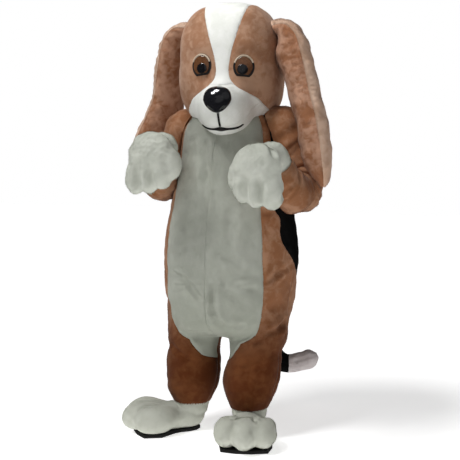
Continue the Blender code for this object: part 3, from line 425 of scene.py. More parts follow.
# Creases of each half, left then right: from, to, half width, depth
SUIT_CREASES = {
    "left": (
        ((0.033, -0.242, 0.645), (0.031, -0.238, 0.537), 0.015, 0.0180),
        ((0.033, -0.238, 0.540), (0.067, -0.213, 0.481), 0.014, 0.0150),
        ((0.091, -0.234, 0.657), (0.202, -0.181, 0.640), 0.014, 0.0080),
        ((0.273, -0.046, 0.486), (0.195, -0.153, 0.413), 0.015, 0.0150),
        ((0.074, -0.237, 0.668), (0.205, -0.178, 0.702), 0.016, 0.0080),
        ((0.066, -0.239, 0.776), (0.138, -0.219, 0.744), 0.020, 0.0080),
        ((0.066, -0.210, 0.476), (0.150, -0.195, 0.492), 0.010, 0.0096),
        ((0.074, -0.237, 0.631), (0.134, -0.220, 0.608), 0.014, 0.0064),
        ((0.231, -0.154, 0.667), (0.279, -0.076, 0.715), 0.012, 0.0112),
        ((0.265, -0.107, 0.705), (0.293, -0.008, 0.733), 0.011, 0.0080),
        ((0.216, -0.129, 0.453), (0.269, -0.038, 0.488), 0.014, 0.0144),
        ((0.223, -0.127, 0.946), (0.249, -0.081, 0.956), 0.016, 0.0096),
        ((0.103, -0.202, 0.967), (0.106, -0.227, 0.805), 0.020, 0.0072),
        ((0.129, -0.177, 0.298), (0.225, -0.139, 0.333), 0.011, 0.0080),
        ((0.096, -0.187, 0.190), (0.220, -0.156, 0.227), 0.011, 0.0088),
        ((0.114, -0.166, 0.379), (0.212, -0.140, 0.417), 0.012, 0.0096),
        ((0.250, 0.060, 0.560), (0.160, 0.200, 0.500), 0.015, 0.0128),
        ((0.240, 0.100, 0.720), (0.120, 0.235, 0.690), 0.018, 0.0096),
        ((0.230, 0.040, 0.300), (0.120, 0.070, 0.280), 0.012, 0.0096),
        ((0.215, 0.060, 1.020), (0.090, 0.190, 1.060), 0.018, 0.0096),
        ((0.200, 0.020, 0.170), (0.090, 0.000, 0.190), 0.010, 0.0080),
        ((0.018, -0.165, 1.192), (0.030, -0.221, 0.946), 0.017, 0.0080),
    ),
    "right": (
        ((-0.100, -0.161, 0.439), (-0.004, -0.190, 0.468), 0.013, 0.0120),
        ((-0.153, -0.212, 0.652), (-0.024, -0.243, 0.659), 0.012, 0.0060),
        ((-0.042, -0.158, 1.213), (-0.002, -0.201, 1.048), 0.022, 0.0080),
        ((-0.183, -0.196, 0.704), (-0.100, -0.231, 0.677), 0.010, 0.0096),
        ((-0.100, -0.231, 0.677), (-0.024, -0.242, 0.599), 0.010, 0.0104),
        ((-0.182, -0.196, 0.636), (-0.095, -0.233, 0.646), 0.012, 0.0056),
        ((-0.094, -0.190, 0.439), (0.000, -0.190, 0.450), 0.010, 0.0096),
        ((-0.026, -0.170, 1.171), (-0.010, -0.222, 0.945), 0.018, 0.0072),
        ((-0.207, -0.152, 0.369), (-0.109, -0.171, 0.316), 0.012, 0.0096),
        ((-0.156, -0.193, 0.207), (-0.066, -0.163, 0.232), 0.011, 0.0088),
        ((-0.240, -0.110, 0.560), (-0.270, -0.020, 0.600), 0.014, 0.0112),
        ((-0.220, 0.030, 0.460), (-0.150, 0.150, 0.430), 0.014, 0.0128),
        ((-0.255, 0.080, 0.800), (-0.120, 0.240, 0.760), 0.019, 0.0088),
        ((-0.225, 0.010, 0.320), (-0.120, 0.060, 0.270), 0.012, 0.0096),
        ((-0.205, 0.080, 1.000), (-0.080, 0.200, 1.020), 0.018, 0.0096),
    ),
}


def suit_field(p):
    x, y, h = np.abs(p[..., 0]), p[..., 1], p[..., 2]
    wide, deep = read(TORSO, "half_width", h), read(TORSO, "half_depth", h)
    y = y - read(LEG, "middle_y", h)
    around = (np.abs(x / wide) ** TORSO_POWER + np.abs(y / deep) ** TORSO_POWER) ** (1 / TORSO_POWER)
    torso = (around - 1) * np.minimum(wide, deep) + SEAT_RISE * np.maximum(SEAT_BOTTOM - h, 0)
    leg = np.hypot(x - read(LEG, "side", h), y) - read(LEG, "radius", h)
    skin = soft_min(torso, leg, LEG_BLEND)
    for side_x, front_y, height, half_length, half_width, depth, slope in FOLDS:
        along = np.hypot(x - side_x, p[..., 1] - front_y)
        across = h - height - slope * (x - side_x)
        skin = skin + depth * np.exp(-((along / half_length) ** 2) - (across / half_width) ** 2)
    return skin


def axis_share(h):
    return soft_step((AXIS_OUT - h) / (AXIS_OUT - AXIS_IN))


def crotch_height():
    low, high = AXIS_IN - 0.10, AXIS_IN + 0.10
    for _ in range(CAST_STEPS):
        middle = (low + high) / 2
        if suit_field(np.array([0.0, float(read(LEG, "middle_y", middle)), middle])) < 0:
            high = middle
        else:
            low = middle
    return high


CROTCH = crotch_height()


def half_ends(h):
    """Angles round a half's own axis at which it meets the middle plane, front and back."""
    middle_y = read(LEG, "middle_y", h)
    axis = read(LEG, "side", h) * axis_share(h)
    angles = []
    for way in (-1.0, 1.0):
        front = np.zeros((len(h), 3))
        front[:, 1] = way
        origin = np.stack([np.zeros_like(h), middle_y, h], axis=-1)
        met = cast(suit_field, origin, front, SUIT_FAR)
        reach = np.where(h > CROTCH, np.abs(met[:, 1] - middle_y), 0.0)
        angles.append(np.arctan2(reach, axis))
    return angles[0], 2 * math.pi - angles[1]


def suit_point(share, h):
    """The suit's face: share runs 0 to 1 from the front middle round the side to the back middle."""
    first, last = half_ends(h[:, 0])
    turn = first[:, None] + share * (last - first)[:, None]
    axis = read(LEG, "side", h) * axis_share(h)
    origin = np.stack([axis, read(LEG, "middle_y", h), h], axis=-1)
    direction = np.stack([-np.cos(turn), -np.sin(turn), np.zeros_like(turn)], axis=-1)
    to_middle = (axis + HAIR) / np.maximum(np.cos(turn), HAIR)
    return cast(suit_field, origin, direction, np.minimum(to_middle, SUIT_FAR))


def bib_edge(h):
    return read(SEAMS, "bib", h)


def saddle_edge(h):
    return np.minimum(read(SEAMS, "saddle", h), 1.0)


def outseam(h):
    below = np.minimum(OUTSEAM, saddle_edge(h) - TIP_SHARE)
    return np.where(h > SEAT_TIP + PROBE / 10, saddle_edge(h), below)


def bib_or_inseam(h):
    return np.where(h < BIB_TIP - PROBE / 10, 0.0, bib_edge(h))


def seam_dip(skin, depth, first=1.0, last=1.0, width=0.0075):
    """How far the cloth is pulled in beside the sewn edges at a row's two ends."""
    steps = np.linalg.norm(np.diff(skin, axis=1), axis=-1)
    along = np.concatenate([np.zeros((len(skin), 1)), np.cumsum(steps, axis=1)], axis=1)
    left = first * np.exp(-((along / width) ** 2))
    right = last * np.exp(-(((along[:, -1:] - along) / width) ** 2))
    return -depth * (left + right)


def suit_panel(name, look, side, word, first, last, top, bottom, dips, seed, hole=None):
    fine = np.arange(bottom, top, WEAVE_STEP)
    close = np.arange(CROTCH - CROTCH_BELOW, CROTCH + CROTCH_ABOVE, CROTCH_STEP)
    marks = [bottom, top, SEAT_TIP, SEAT_TIP + TIP_STEP]
    heights = np.unique(np.round(np.concatenate([fine, close, marks]), 5))
    heights = heights[(heights >= bottom) & (heights <= top)]
    heights = heights[np.concatenate([[True], np.diff(heights) > LEAST_STEP])][::-1]
    a, b = first(heights), last(heights)
    girth = GIRTH_SHARE * (read(TORSO, "half_width", heights) + GIRTH_MORE) * math.pi
    a, b = a + SEAM / girth, b - SEAM / girth
    cols = int(np.ceil((girth * (b - a)).max() / WEAVE_STEP))
    share = a[:, None] + (b - a)[:, None] * np.linspace(0, 1, cols + 1)[None, :]
    h = np.repeat(heights[:, None], cols + 1, axis=1)
    p = suit_point(share, h)
    n = outward(suit_field, p)
    hand = np.array([side, 1.0, 1.0])
    shift = np.array([SEAM, 0, 0])
    p, n = (p + shift) * hand, n * hand
    soft = soft_step((NECK_TOP - h) / 0.05)
    lift = creases(p, SUIT_CREASES[word]) + uneven(p, SUIT_UNEVEN, 5)
    lift = lift * soft + seam_dip(p, SEAM_PULL, *dips)
    lift = np.where(np.abs(p[..., 0]) < MIDDLE_FLAT, np.minimum(lift, 0), lift)
    skin = p + n * lift[..., None]
    skin[..., 0] = np.where(skin[..., 0] * side < SEAM, side * SEAM, skin[..., 0])
    lining = skin - CLOTH * n
    lining[..., 0] = np.where(lining[..., 0] * side < SEAM, side * SEAM, lining[..., 0])
    at_seam = np.abs(skin[..., 0]) < SEAM + 1e-6
    lining[..., 0] = np.where(at_seam, skin[..., 0] - SEAM_LAP, lining[..., 0])
    keep = None
    if hole is not None:
        inside = hole(skin)
        keep = ~(inside[:-1, :-1] & inside[1:, :-1] & inside[:-1, 1:] & inside[1:, 1:])
    made = cloth("suit_" + name + "_" + word, skin, lining, look, [name + "_" + word], keep=keep)
    normal = facing(skin, n)
    fur = pile(made.name + "_pile", skin, normal, look, SUIT_PILE, (0.0, -0.1, -1.0), seed, keep=keep)


ARM_NAMES = ("x", "y", "height", "radius")
ARMS = {
    "left": (
        (0.150, 0.034, 1.320, 0.066), (0.226, 0.034, 1.314, 0.085), (0.287, 0.034, 1.212, 0.087),
        (0.326, 0.026, 1.105, 0.084), (0.342, -0.026, 1.046, 0.083), (0.342, -0.096, 1.034, 0.081),
        (0.332, -0.163, 1.068, 0.077), (0.322, -0.203, 1.106, 0.071), (0.313, -0.236, 1.148, 0.067),
    ),
    "right": (
        (-0.150, 0.034, 1.320, 0.066), (-0.224, 0.034, 1.312, 0.084), (-0.277, 0.034, 1.220, 0.085),
        (-0.304, 0.024, 1.128, 0.081), (-0.306, -0.028, 1.078, 0.081), (-0.290, -0.093, 1.074, 0.079),
        (-0.257, -0.150, 1.110, 0.075), (-0.228, -0.198, 1.155, 0.070), (-0.203, -0.236, 1.194, 0.067),
    ),
}


def spine(table, names, count, start=0.0, end=1.0):
    """Points along a smooth curve through a table's rows, with the other columns and a steady frame."""
    values = np.array(table, dtype=float)
    steps = np.linalg.norm(np.diff(values[:, :3], axis=0), axis=1)
    smooth = {"along": np.concatenate([[0], np.cumsum(steps)]) / steps.sum()}
    for i, name in enumerate(names):
        smooth[name] = values[:, i]
    at = np.linspace(start, end, count)
    points = np.stack([read(smooth, name, at) for name in names[:3]], axis=-1)
    tangents = unit(np.gradient(points, axis=0))
    across = np.cross(tangents[0], np.array([0.0, 1.0, 0.0]))
    sides = []
    for tangent in tangents:
        across = across - tangent * (across @ tangent)
        across = across / np.linalg.norm(across)
        sides.append(across)
    sides = np.array(sides)
    extra = {name: read(smooth, name, at) for name in names[3:]}
    return at, points, tangents, sides, np.cross(tangents, sides), extra


def round_spine(turn, across, other):
    """Directions round each place of a spine, in its steady frame."""
    return np.cos(turn)[None, :, None] * across[:, None, :] + np.sin(turn)[None, :, None] * other[:, None, :]


def in_sleeve(arm):
    """A test for the room inside an upper sleeve, where the panels are cut out for the arm."""
    _, points, _, _, _, extra = spine(ARMS[arm], ARM_NAMES, 40, 0.0, 0.33)

    def inside(p):
        gap = np.full(p.shape[:-1], 9.0)
        for point, radius in zip(points, extra["radius"]):
            gap = np.minimum(gap, np.linalg.norm(p - point, axis=-1) - radius)
        return gap < -0.006

    return inside


for side, arm in ((1.0, "left"), (-1.0, "right")):
    hole = in_sleeve(arm)
    seed = 10 if arm == "left" else 20
    suit_panel("bib", white_plush, side, arm, np.zeros_like, bib_edge, NECK_TOP, BIB_TIP,
               (0.35, 1.0), seed)
    suit_panel("flank", brown_plush, side, arm, bib_or_inseam, outseam, NECK_TOP, HEM,
               (1.0, 0.9), seed + 2, hole)
    suit_panel("seat", brown_plush, side, arm, outseam, saddle_edge, SEAT_TIP, HEM,
               (0.9, 0.9), seed + 4)
    suit_panel("saddle", black_plush, side, arm, saddle_edge, np.ones_like, NECK_TOP, SADDLE_TIP,
               (1.0, 0.5), seed + 6, hole)

# Sleeves: one plush tube for each arm, set into the armhole and gathered in deep folds at the bent
# elbow and above the cuff, where the mitt's wrist is tucked in.
SLEEVE_FOLDS = {
    "left": (
        # place along, way round, reach round, width along, depth
        (0.20, 0.6, 1.2, 0.030, 0.006), (0.34, 2.2, 1.1, 0.028, 0.009), (0.45, 0.3, 1.3, 0.026, 0.018),
        (0.52, 3.4, 1.2, 0.026, 0.016), (0.60, 1.0, 1.3, 0.026, 0.018), (0.68, 4.4, 1.1, 0.026, 0.014),
        (0.80, 2.6, 1.4, 0.024, 0.008), (0.90, 0.2, 2.0, 0.020, 0.006),
    ),
    "right": (
        (0.22, 3.0, 1.2, 0.030, 0.006), (0.40, 1.0, 1.2, 0.028, 0.010), (0.52, 4.2, 1.3, 0.026, 0.012),
        (0.62, 2.4, 1.2, 0.026, 0.010), (0.78, 5.4, 1.4, 0.024, 0.007), (0.90, 2.0, 2.0, 0.020, 0.006),
    ),
}
# Narrow creases between the folds: place along, way round, reach round, width along, depth, lean
SLEEVE_CREASES = (
    (0.30, 1.5, 1.0, 0.010, 0.004, 0.05), (0.40, 5.6, 0.9, 0.010, 0.007, -0.06),
    (0.47, 1.3, 0.9, 0.010, 0.008, 0.07), (0.50, 5.0, 1.0, 0.011, 0.009, 0.05),
    (0.56, 0.2, 1.1, 0.011, 0.010, -0.05), (0.58, 3.6, 0.9, 0.010, 0.008, 0.06),
    (0.64, 5.8, 1.0, 0.011, 0.009, 0.06), (0.66, 2.0, 1.0, 0.010, 0.008, -0.06),
    (0.73, 0.6, 1.1, 0.011, 0.008, 0.05), (0.76, 3.8, 1.0, 0.010, 0.006, -0.04),
    (0.85, 5.2, 1.2, 0.009, 0.005, 0.03), (0.94, 1.5, 1.6, 0.008, 0.004, 0.0),
)
SLEEVE_ROUND, SLEEVE_ALONG = 72, 88
SLEEVE_UNEVEN, SLEEVE_OFF, LINING_OFF = ((0.0015, 0.05),), 0.0042, 0.0012


def sleeve_point(arm):
    at, points, _, across, other, extra = spine(ARMS[arm], ARM_NAMES, SLEEVE_ALONG)
    turn = np.linspace(0, 2 * math.pi, SLEEVE_ROUND, endpoint=False)
    radius = np.repeat(extra["radius"][:, None], SLEEVE_ROUND, axis=1)
    ends = soft_step((1 - at) / 0.08)[:, None]
    rows = [(*row, 0.02 / row[2]) for row in SLEEVE_FOLDS[arm]] + list(SLEEVE_CREASES)
    for place, way, reach, width, depth, lean in rows:
        off = np.angle(np.exp(1j * (turn - way)))
        far = (at[:, None] - place - lean * off[None, :]) / width
        fade = np.exp(-((off[None, :] / reach) ** 2))
        radius = radius - depth * ends * fade * (np.exp(-(far**2)) - 0.4 * np.exp(-((np.abs(far) - 1.9) ** 2)))
    way = round_spine(turn, across, other)
    p = points[:, None, :] + radius[..., None] * way
    return p.transpose(1, 0, 2), way.transpose(1, 0, 2)


def clear_of(p, field, gap):
    """Points that lie within a form are moved out to its face."""
    for _ in range(3):
        deep = np.maximum(gap - field(p), 0)
        p = p + outward(field, p) * deep[..., None]
    return p


def along_arm(arm):
    _, points, tangents, _, _, _ = spine(ARMS[arm], ARM_NAMES, 40)

    def comb(p, up):
        near = np.argmin(((p[:, None, :] - points[None]) ** 2).sum(axis=-1), axis=1)
        return tangents[near]

    return comb


for arm, seed in (("left", 40), ("right", 50)):
    p, way = sleeve_point(arm)
    p = p + way * uneven(p, SLEEVE_UNEVEN, 7)[..., None]
    out = suit_field(p) > 0.0
    shut = np.concatenate([out, out[:1]])
    keep = shut[:-1, :-1] | shut[1:, :-1] | shut[:-1, 1:] | shut[1:, 1:]
    skin = clear_of(p, suit_field, SLEEVE_OFF)
    lining = clear_of(skin - CLOTH * way, suit_field, LINING_OFF)
    normal = facing(skin, way, ring=True)
    made = cloth("suit_sleeve_" + arm, skin, lining, brown_plush, ["sleeve_" + arm], True, keep)
    fur = pile(made.name + "_pile", skin, normal, brown_plush, SUIT_PILE, along_arm(arm), seed,
               ring=True, keep=keep)

# Head: a foam shell covered in glued and sewn plush panels: a white blaze, two muzzle halves, a chin and
# two brown sides that wrap round to the back. It is turned a little to the wearer's left.
HEAD_MIDDLE = np.array([0.0, 0.02, 1.56])
HEAD_YAW, HEAD_ROLL = math.radians(13.5), math.radians(-0.5)
HEAD_FORMS = (
    # middle x, y, z, then half width, half depth, half height, then how square
    ((0.0, 0.010, 0.041), (0.217, 0.212, 0.236), 2.6),
    ((0.0, 0.000, -0.095), (0.212, 0.195, 0.165), 2.2),
    ((0.0, -0.185, -0.160), (0.108, 0.118, 0.088), 2.0),
    ((0.0, -0.150, -0.225), (0.088, 0.100, 0.060), 2.0),
)
HEAD_BLEND, HEAD_FAR, HEAD_WALL = 0.05, 0.5, 0.010
HEAD_EYE = np.array([0.0, -0.02, -0.04])
WHITE_EDGE = columns(
    ("turn", "reach"),
    ((-86, 50), (-60, 48), (-45, 44), (-32, 38), (-22, 28), (-12, 15), (-4, 9.5), (5, 8.0), (20, 9.5), (45, 14),
     (70, 17), (90, 17), (108, 14), (122, 8), (134, 1.4), (142, 0.0), (236, 0.0), (250, 8), (262, 30)),
)
MOUTH_TURN, BROW_TURN, BLAZE_TIP, CHIN_END, NAPE_END = -43.0, -11.0, 134.0, -86.0, 262.0
HEAD_HAIR = math.degrees(SEAM / 0.22)


def head_field(p):
    first, *others = HEAD_FORMS
    skin = ellipsoid(p, np.array(first[0]), *first[1:])
    for middle, radii, power in others:
        skin = soft_min(skin, ellipsoid(p, np.array(middle), radii, power), HEAD_BLEND)
    return skin


def head_turn():
    roll = np.array([[math.cos(HEAD_ROLL), 0, math.sin(HEAD_ROLL)], [0, 1, 0],
                     [-math.sin(HEAD_ROLL), 0, math.cos(HEAD_ROLL)]])
    yaw = np.array([[math.cos(HEAD_YAW), -math.sin(HEAD_YAW), 0], [math.sin(HEAD_YAW), math.cos(HEAD_YAW), 0],
                    [0, 0, 1]])
    return yaw @ roll


HEAD_FRAME = head_turn()


def head_place(p):
    return HEAD_MIDDLE + p @ HEAD_FRAME.T


def head_unplace(p):
    return (p - HEAD_MIDDLE) @ HEAD_FRAME


def head_point(reach, turn):
    reach, turn = np.radians(reach), np.radians(turn)
    direction = np.stack([np.sin(reach), -np.cos(reach) * np.cos(turn), np.cos(reach) * np.sin(turn)], axis=-1)
    return cast(head_field, HEAD_EYE, direction, HEAD_FAR)


EYE_X, EYE_WIDE, EYE_TALL, EYE_FLAT = 0.088, 0.0425, 0.050, 0.82
EYE_Z = {"left": -0.009, "right": 0.000}
NOSE_Z, NOSE_WIDE, NOSE_TALL = -0.150, 0.052, 0.046
MOUTH_Z, MOUTH_HALF, LINE_HALF = -0.262, 0.085, 0.0035
MOUTH_REACH, MOUTH_PULL, HEAD_PULL = 0.009, 0.0035, 0.0022
HEAD_UNEVEN = ((0.0012, 0.07),)
FACE_SWELLS = (
    # middle x and z, half width, half height and lift of the eye's socket, the brow and the lip
    (EYE_X, -0.004, 0.060, 0.066, -0.0030),
    (0.090, 0.078, 0.055, 0.030, 0.0040),
    (0.045, -0.222, 0.040, 0.026, 0.0040),
)


def mouth_rise(x):
    return MOUTH_Z + 0.020 * (x / MOUTH_HALF) ** 4


def face_gap(p):
    """How far a point of the face lies from the eyes, the nose and the mouth's line."""
    x, z = p[..., 0], p[..., 2]
    eye_z = np.where(x > 0, EYE_Z["left"], EYE_Z["right"])
    eye = (np.hypot((np.abs(x) - EYE_X) / EYE_WIDE, (z - eye_z) / EYE_TALL) - 1) * EYE_WIDE
    nose = (np.hypot(x / NOSE_WIDE, (z - NOSE_Z) / NOSE_TALL) - 1) * NOSE_TALL
    over = np.maximum(np.abs(x) - MOUTH_HALF, 0)
    mouth = np.hypot(over, z - mouth_rise(np.clip(x, -MOUTH_HALF, MOUTH_HALF))) - LINE_HALF * 1.3
    line = np.hypot(x, np.maximum(z - (NOSE_Z - NOSE_TALL), 0) + np.maximum(MOUTH_Z - z, 0)) - LINE_HALF
    gap = np.minimum(np.minimum(eye, nose), np.minimum(mouth, line))
    return np.where(p[..., 1] < 0, gap, 1.0)


def face_bare(p):
    """The pile's share of its full length: none under the eyes, nose and mouth, short beside them."""
    gap = face_gap(p)
    return np.where(gap < 0.0, 0.0, 0.45 + 0.55 * soft_step(gap / 0.018))


def face_relief(p):
    """The plush is drawn in round the eyes and along the mouth, and full on the lips and brows."""
    x, y, z = p[..., 0], p[..., 1], p[..., 2]
    front = soft_step(-y / 0.08)
    drawn = np.exp(-((np.minimum(np.abs(z - mouth_rise(x)), 0.05) / MOUTH_REACH) ** 2))
    lift = -MOUTH_PULL * drawn * (np.abs(x) < MOUTH_HALF + 0.01)
    for middle_x, middle_z, wide, tall, swell in FACE_SWELLS:
        lift = lift + swell * np.exp(-(((np.abs(x) - middle_x) / wide) ** 2) - ((z - middle_z) / tall) ** 2)
    return front * lift


def laid_clear(p, lift):
    """No lift where the eyes, nose and mouth are sewn on."""
    gap = face_gap(p)
    return np.minimum(lift, 0.0040 * soft_step(gap / 0.02)) * soft_step((gap + 0.004) / 0.010)


def head_comb(p, up):
    away = p - np.array([0.0, -0.30, -0.12])
    return unit(away) + np.array([0.0, 0.0, -0.35])


def neck_room(p):
    """Where the head is open for the neck, and where it goes down inside the suit."""
    q = head_place(p)
    hole = (q[..., 0] / 0.128) ** 2 + ((q[..., 1] - 0.03) / 0.112) ** 2 < 1
    return (hole & (q[..., 2] < 1.42)) | ((suit_field(q) < -0.010) & (q[..., 2] < NECK_TOP))


def head_panel(name, look, nodes, reach, turn, dips, seed, ring=False, trim=False, length=0.0066):
    p = head_point(reach, turn)
    n = outward(head_field, p)
    lift = face_relief(p) + uneven(p, HEAD_UNEVEN, 8) + seam_dip(p, HEAD_PULL, *dips)
    skin = p + n * laid_clear(p, lift)[..., None]
    lining = skin - HEAD_WALL * n
    keep = None
    if trim:
        gone = neck_room(skin)
        if ring:
            gone = np.concatenate([gone, gone[:1]])
        keep = ~(gone[:-1, :-1] & gone[1:, :-1] & gone[:-1, 1:] & gone[1:, 1:])
    made = cloth(name, head_place(skin), head_place(lining), look, nodes, ring, keep)
    fur = pile(name + "_pile", skin, facing(skin, n, ring), look, length, head_comb, seed, ring, keep,
               face_bare, head_place)


def strip(name, nodes, start, end, low, high, dips, seed, trim=False, length=0.0058):
    """A white head panel over a range of turns, between shares of the white edge's reach."""
    turns = np.linspace(start, end, int(abs(end - start) / 2.2) + 2)
    edge = read(WHITE_EDGE, "reach", turns) - HEAD_HAIR
    turns[0] += HEAD_HAIR
    turns[-1] -= HEAD_HAIR
    a = low * edge + (HEAD_HAIR if low == 0 else 0)
    b = high * edge - (HEAD_HAIR if high == 0 else 0)
    cols = int((b - a).max() / 2.4) + 2
    reach = a[:, None] + (b - a)[:, None] * np.linspace(0, 1, cols + 1)[None, :]
    turn = np.repeat(turns[:, None], cols + 1, axis=1)
    head_panel(name, head_white, nodes, reach, turn, dips, seed, False, trim, length)


# The pale patch colours of the face plushes are painted sheen
head_white = plush("white face plush", root=(0.72, 0.73, 0.68), tip=(0.86, 0.87, 0.83),
                   brushed_sheen=(0.90, 0.90, 0.88))
head_brown = plush("brown face plush", root=(0.28, 0.130, 0.066), tip=(0.38, 0.195, 0.110),
                   brushed_sheen=(0.66, 0.45, 0.32), sheen_base_share=0.05, patch=0.35)
strip("head_blaze", ["blaze"], BROW_TURN, BLAZE_TIP, -1, 1, (1.0, 1.0), 60)
strip("head_muzzle_left", ["muzzle_left"], MOUTH_TURN, BROW_TURN, 0, 1, (1.4, 1.0), 62)
strip("head_muzzle_right", ["muzzle_right"], MOUTH_TURN, BROW_TURN, -1, 0, (1.0, 1.4), 64)
strip("head_chin", ["chin"], CHIN_END, MOUTH_TURN, -1, 1, (1.0, 1.0), 66, trim=True)
for side, word, seed in ((1.0, "left", 70), (-1.0, "right", 72)):
    turns = np.linspace(CHIN_END, NAPE_END, 150)
    edge = np.maximum(read(WHITE_EDGE, "reach", turns), 0) + HEAD_HAIR
    spread = np.linspace(0, 1, 40)
    reach = side * (edge[:, None] + (90 - edge)[:, None] * spread[None, :])
    turn = np.repeat(turns[:, None], len(spread), axis=1)
    head_panel("head_brown_side_" + word, head_brown, ["head_side_" + word], reach, turn,
               (1.0, 0.0), seed, ring=True, trim=True, length=0.0068)

# Eyes: a black felt backing glued on the plush, a glossy moulded iris and pupil stuck on it one over the
# other, and a narrow lid of cream plush sewn along the top.
LAID_GAP, SHEET_STEP = 0.00085, 0.0018


def face_point(x, z):
    origin = np.stack([x, np.full_like(x, -0.04), z], axis=-1)
    direction = np.zeros_like(origin)
    direction[..., 1] = -1
    return cast(head_field, origin, direction, HEAD_FAR)


def laid(name, look, nodes, x, z, low, high, ring=False):
    p = face_point(x, z)
    n = outward(head_field, p)
    outer, inner = p + n * high[..., None], p + n * low[..., None]
    return cloth(name, head_place(outer), head_place(inner), look, nodes, ring)


def laid_disc(name, look, nodes, middle, outline, low, edge, dome, sides, rings, roll=0.0015):
    """A domed piece of a given outline, from its middle out, with a soft edge."""
    turn = np.linspace(0, 2 * math.pi, sides, endpoint=False)
    part = np.sin(np.linspace(0, math.pi / 2, rings + 1))[::-1]
    out_x, out_z = outline(turn)
    x = middle[0] + out_x[:, None] * part[None, :]
    z = middle[1] + out_z[:, None] * part[None, :]
    swell = np.sqrt(np.maximum(1 - part**2, 0))
    soft = edge - roll * np.exp(-(((1 - part) / 0.05) ** 2))
    high = low + np.repeat((soft + dome * swell)[None, :], sides, axis=0)
    return laid(name, look, nodes, x, z, np.full_like(high, low), high, ring=True)


def gloss(name, colour, rough, coat=1.0):
    look = bpy.data.materials.new(name)
    look.use_nodes = True
    shader = look.node_tree.nodes["Principled BSDF"]
    shader.inputs["Base Color"].default_value = (*colour, 1)
    shader.inputs["Roughness"].default_value = rough
    shader.inputs["Specular IOR Level"].default_value = 0.5 if coat else 0.25
    shader.inputs["Coat Weight"].default_value = coat
    shader.inputs["Coat Roughness"].default_value = 0.05
    return look


def speckle(look, low, high, size, bump, distance):
    """Slow change of colour and a fine unevenness in a material's surface."""
    nodes, link = look.node_tree.nodes, look.node_tree.links.new
    shader = nodes["Principled BSDF"]
    place, noise = nodes.new("ShaderNodeTexCoord"), nodes.new("ShaderNodeTexNoise")
    mix = nodes.new("ShaderNodeMix")
    noise.inputs["Scale"].default_value = size
    noise.inputs["Detail"].default_value = 4.0
    mix.data_type = "RGBA"
    mix.inputs["A"].default_value = (*low, 1)
    mix.inputs["B"].default_value = (*high, 1)
    raised = nodes.new("ShaderNodeBump")
    raised.inputs["Strength"].default_value = bump
    raised.inputs["Distance"].default_value = distance
    link(place.outputs["Object"], noise.inputs["Vector"])
    link(noise.outputs["Fac"], mix.inputs["Factor"])
    link(mix.outputs["Result"], shader.inputs["Base Color"])
    link(noise.outputs["Fac"], raised.inputs["Height"])
    link(raised.outputs["Normal"], shader.inputs["Normal"])
    return look


IRIS_SHARE, LID_SHARES, LID_START = 0.79, (0.82, 0.97), math.radians(20)
PUPIL, PUPIL_IN, PUPIL_DOWN = 0.0205, 0.005, 0.0125


def eye_outline(side, scale):
    """A tall rounded eye whose lower edge is cut nearly straight, lower at the outer corner."""

    def outline(turn):
        x, z = EYE_WIDE * scale * np.cos(turn), EYE_TALL * scale * np.sin(turn)
        return x, np.maximum(z, -EYE_TALL * scale * EYE_FLAT - 0.10 * side * x)

    return outline


def pupil_outline(turn):
    return PUPIL * np.cos(turn), PUPIL * np.sin(turn)


felt = speckle(gloss("black felt", (0.012, 0.011, 0.012), 0.85, 0.0), (0.008, 0.008, 0.008),
               (0.022, 0.020, 0.020), 900.0, 0.4, 0.0006)
iris_look = speckle(gloss("brown moulded eye", (0.1, 0.04, 0.018), 0.16), (0.045, 0.016, 0.007),
                    (0.20, 0.085, 0.035), 160.0, 0.05, 0.0002)
pupil_look = speckle(gloss("black moulded eye", (0.006, 0.006, 0.008), 0.07), (0.003, 0.003, 0.004),
                     (0.008, 0.008, 0.010), 90.0, 0.02, 0.0002)
# The pale patch colour of the lid is painted sheen
lid_plush = plush("cream lid plush", root=(0.34, 0.25, 0.17), tip=(0.62, 0.50, 0.38),
                  brushed_sheen=(0.72, 0.62, 0.50), patch=0.4)
for side, word in ((1.0, "left"), (-1.0, "right")):
    x, eye_z = side * EYE_X, EYE_Z[word]
    level = LAID_GAP
    laid_disc("eye_back_" + word, felt, ["eye_base_" + word], (x, eye_z),
              eye_outline(side, 1.0), level, SHEET_STEP, 0.0, 72, 12)
    level += SHEET_STEP + LAID_GAP
    laid_disc("eye_iris_" + word, iris_look, ["iris_" + word], (x, eye_z),
              eye_outline(side, IRIS_SHARE), level, SHEET_STEP, 0.004, 64, 12, 0.0)
    turn = np.linspace(LID_START, math.pi - LID_START, 56)
    part = np.linspace(*LID_SHARES, 9)
    grid_x = x + EYE_WIDE * np.cos(turn)[:, None] * part[None, :]
    grid_z = eye_z + EYE_TALL * np.sin(turn)[:, None] * part[None, :]
    low = np.full_like(grid_x, level)
    high = low + SHEET_STEP + 0.0018 * np.sin(math.pi * np.linspace(0, 1, 9))[None, :]
    laid("eye_lid_plush_" + word, lid_plush, ["eye_lid_" + word], grid_x, grid_z, low, high)
    level += SHEET_STEP + 0.004 + LAID_GAP
    middle = (x - side * PUPIL_IN, eye_z - PUPIL_DOWN)
    laid_disc("eye_pupil_" + word, pupil_look, ["pupil_" + word], middle, pupil_outline,
              level, 0.001, 0.003, 48, 10, 0.0)

# Nose and mouth: a glossy nose moulded in black vinyl and glued on the muzzle, and two lines of black
# felt sewn below it, one upright and one along the lips.
NOSE_GAP, LINE_HIGH, LINE_GAP = 0.0009, 0.0035, 0.0002


def nose_outline(turn):
    low, high = np.maximum(-np.sin(turn), 0), np.maximum(np.sin(turn), 0)
    return NOSE_WIDE * np.cos(turn) * (1 - 0.26 * low + 0.26 * high**2), NOSE_TALL * np.sin(turn)


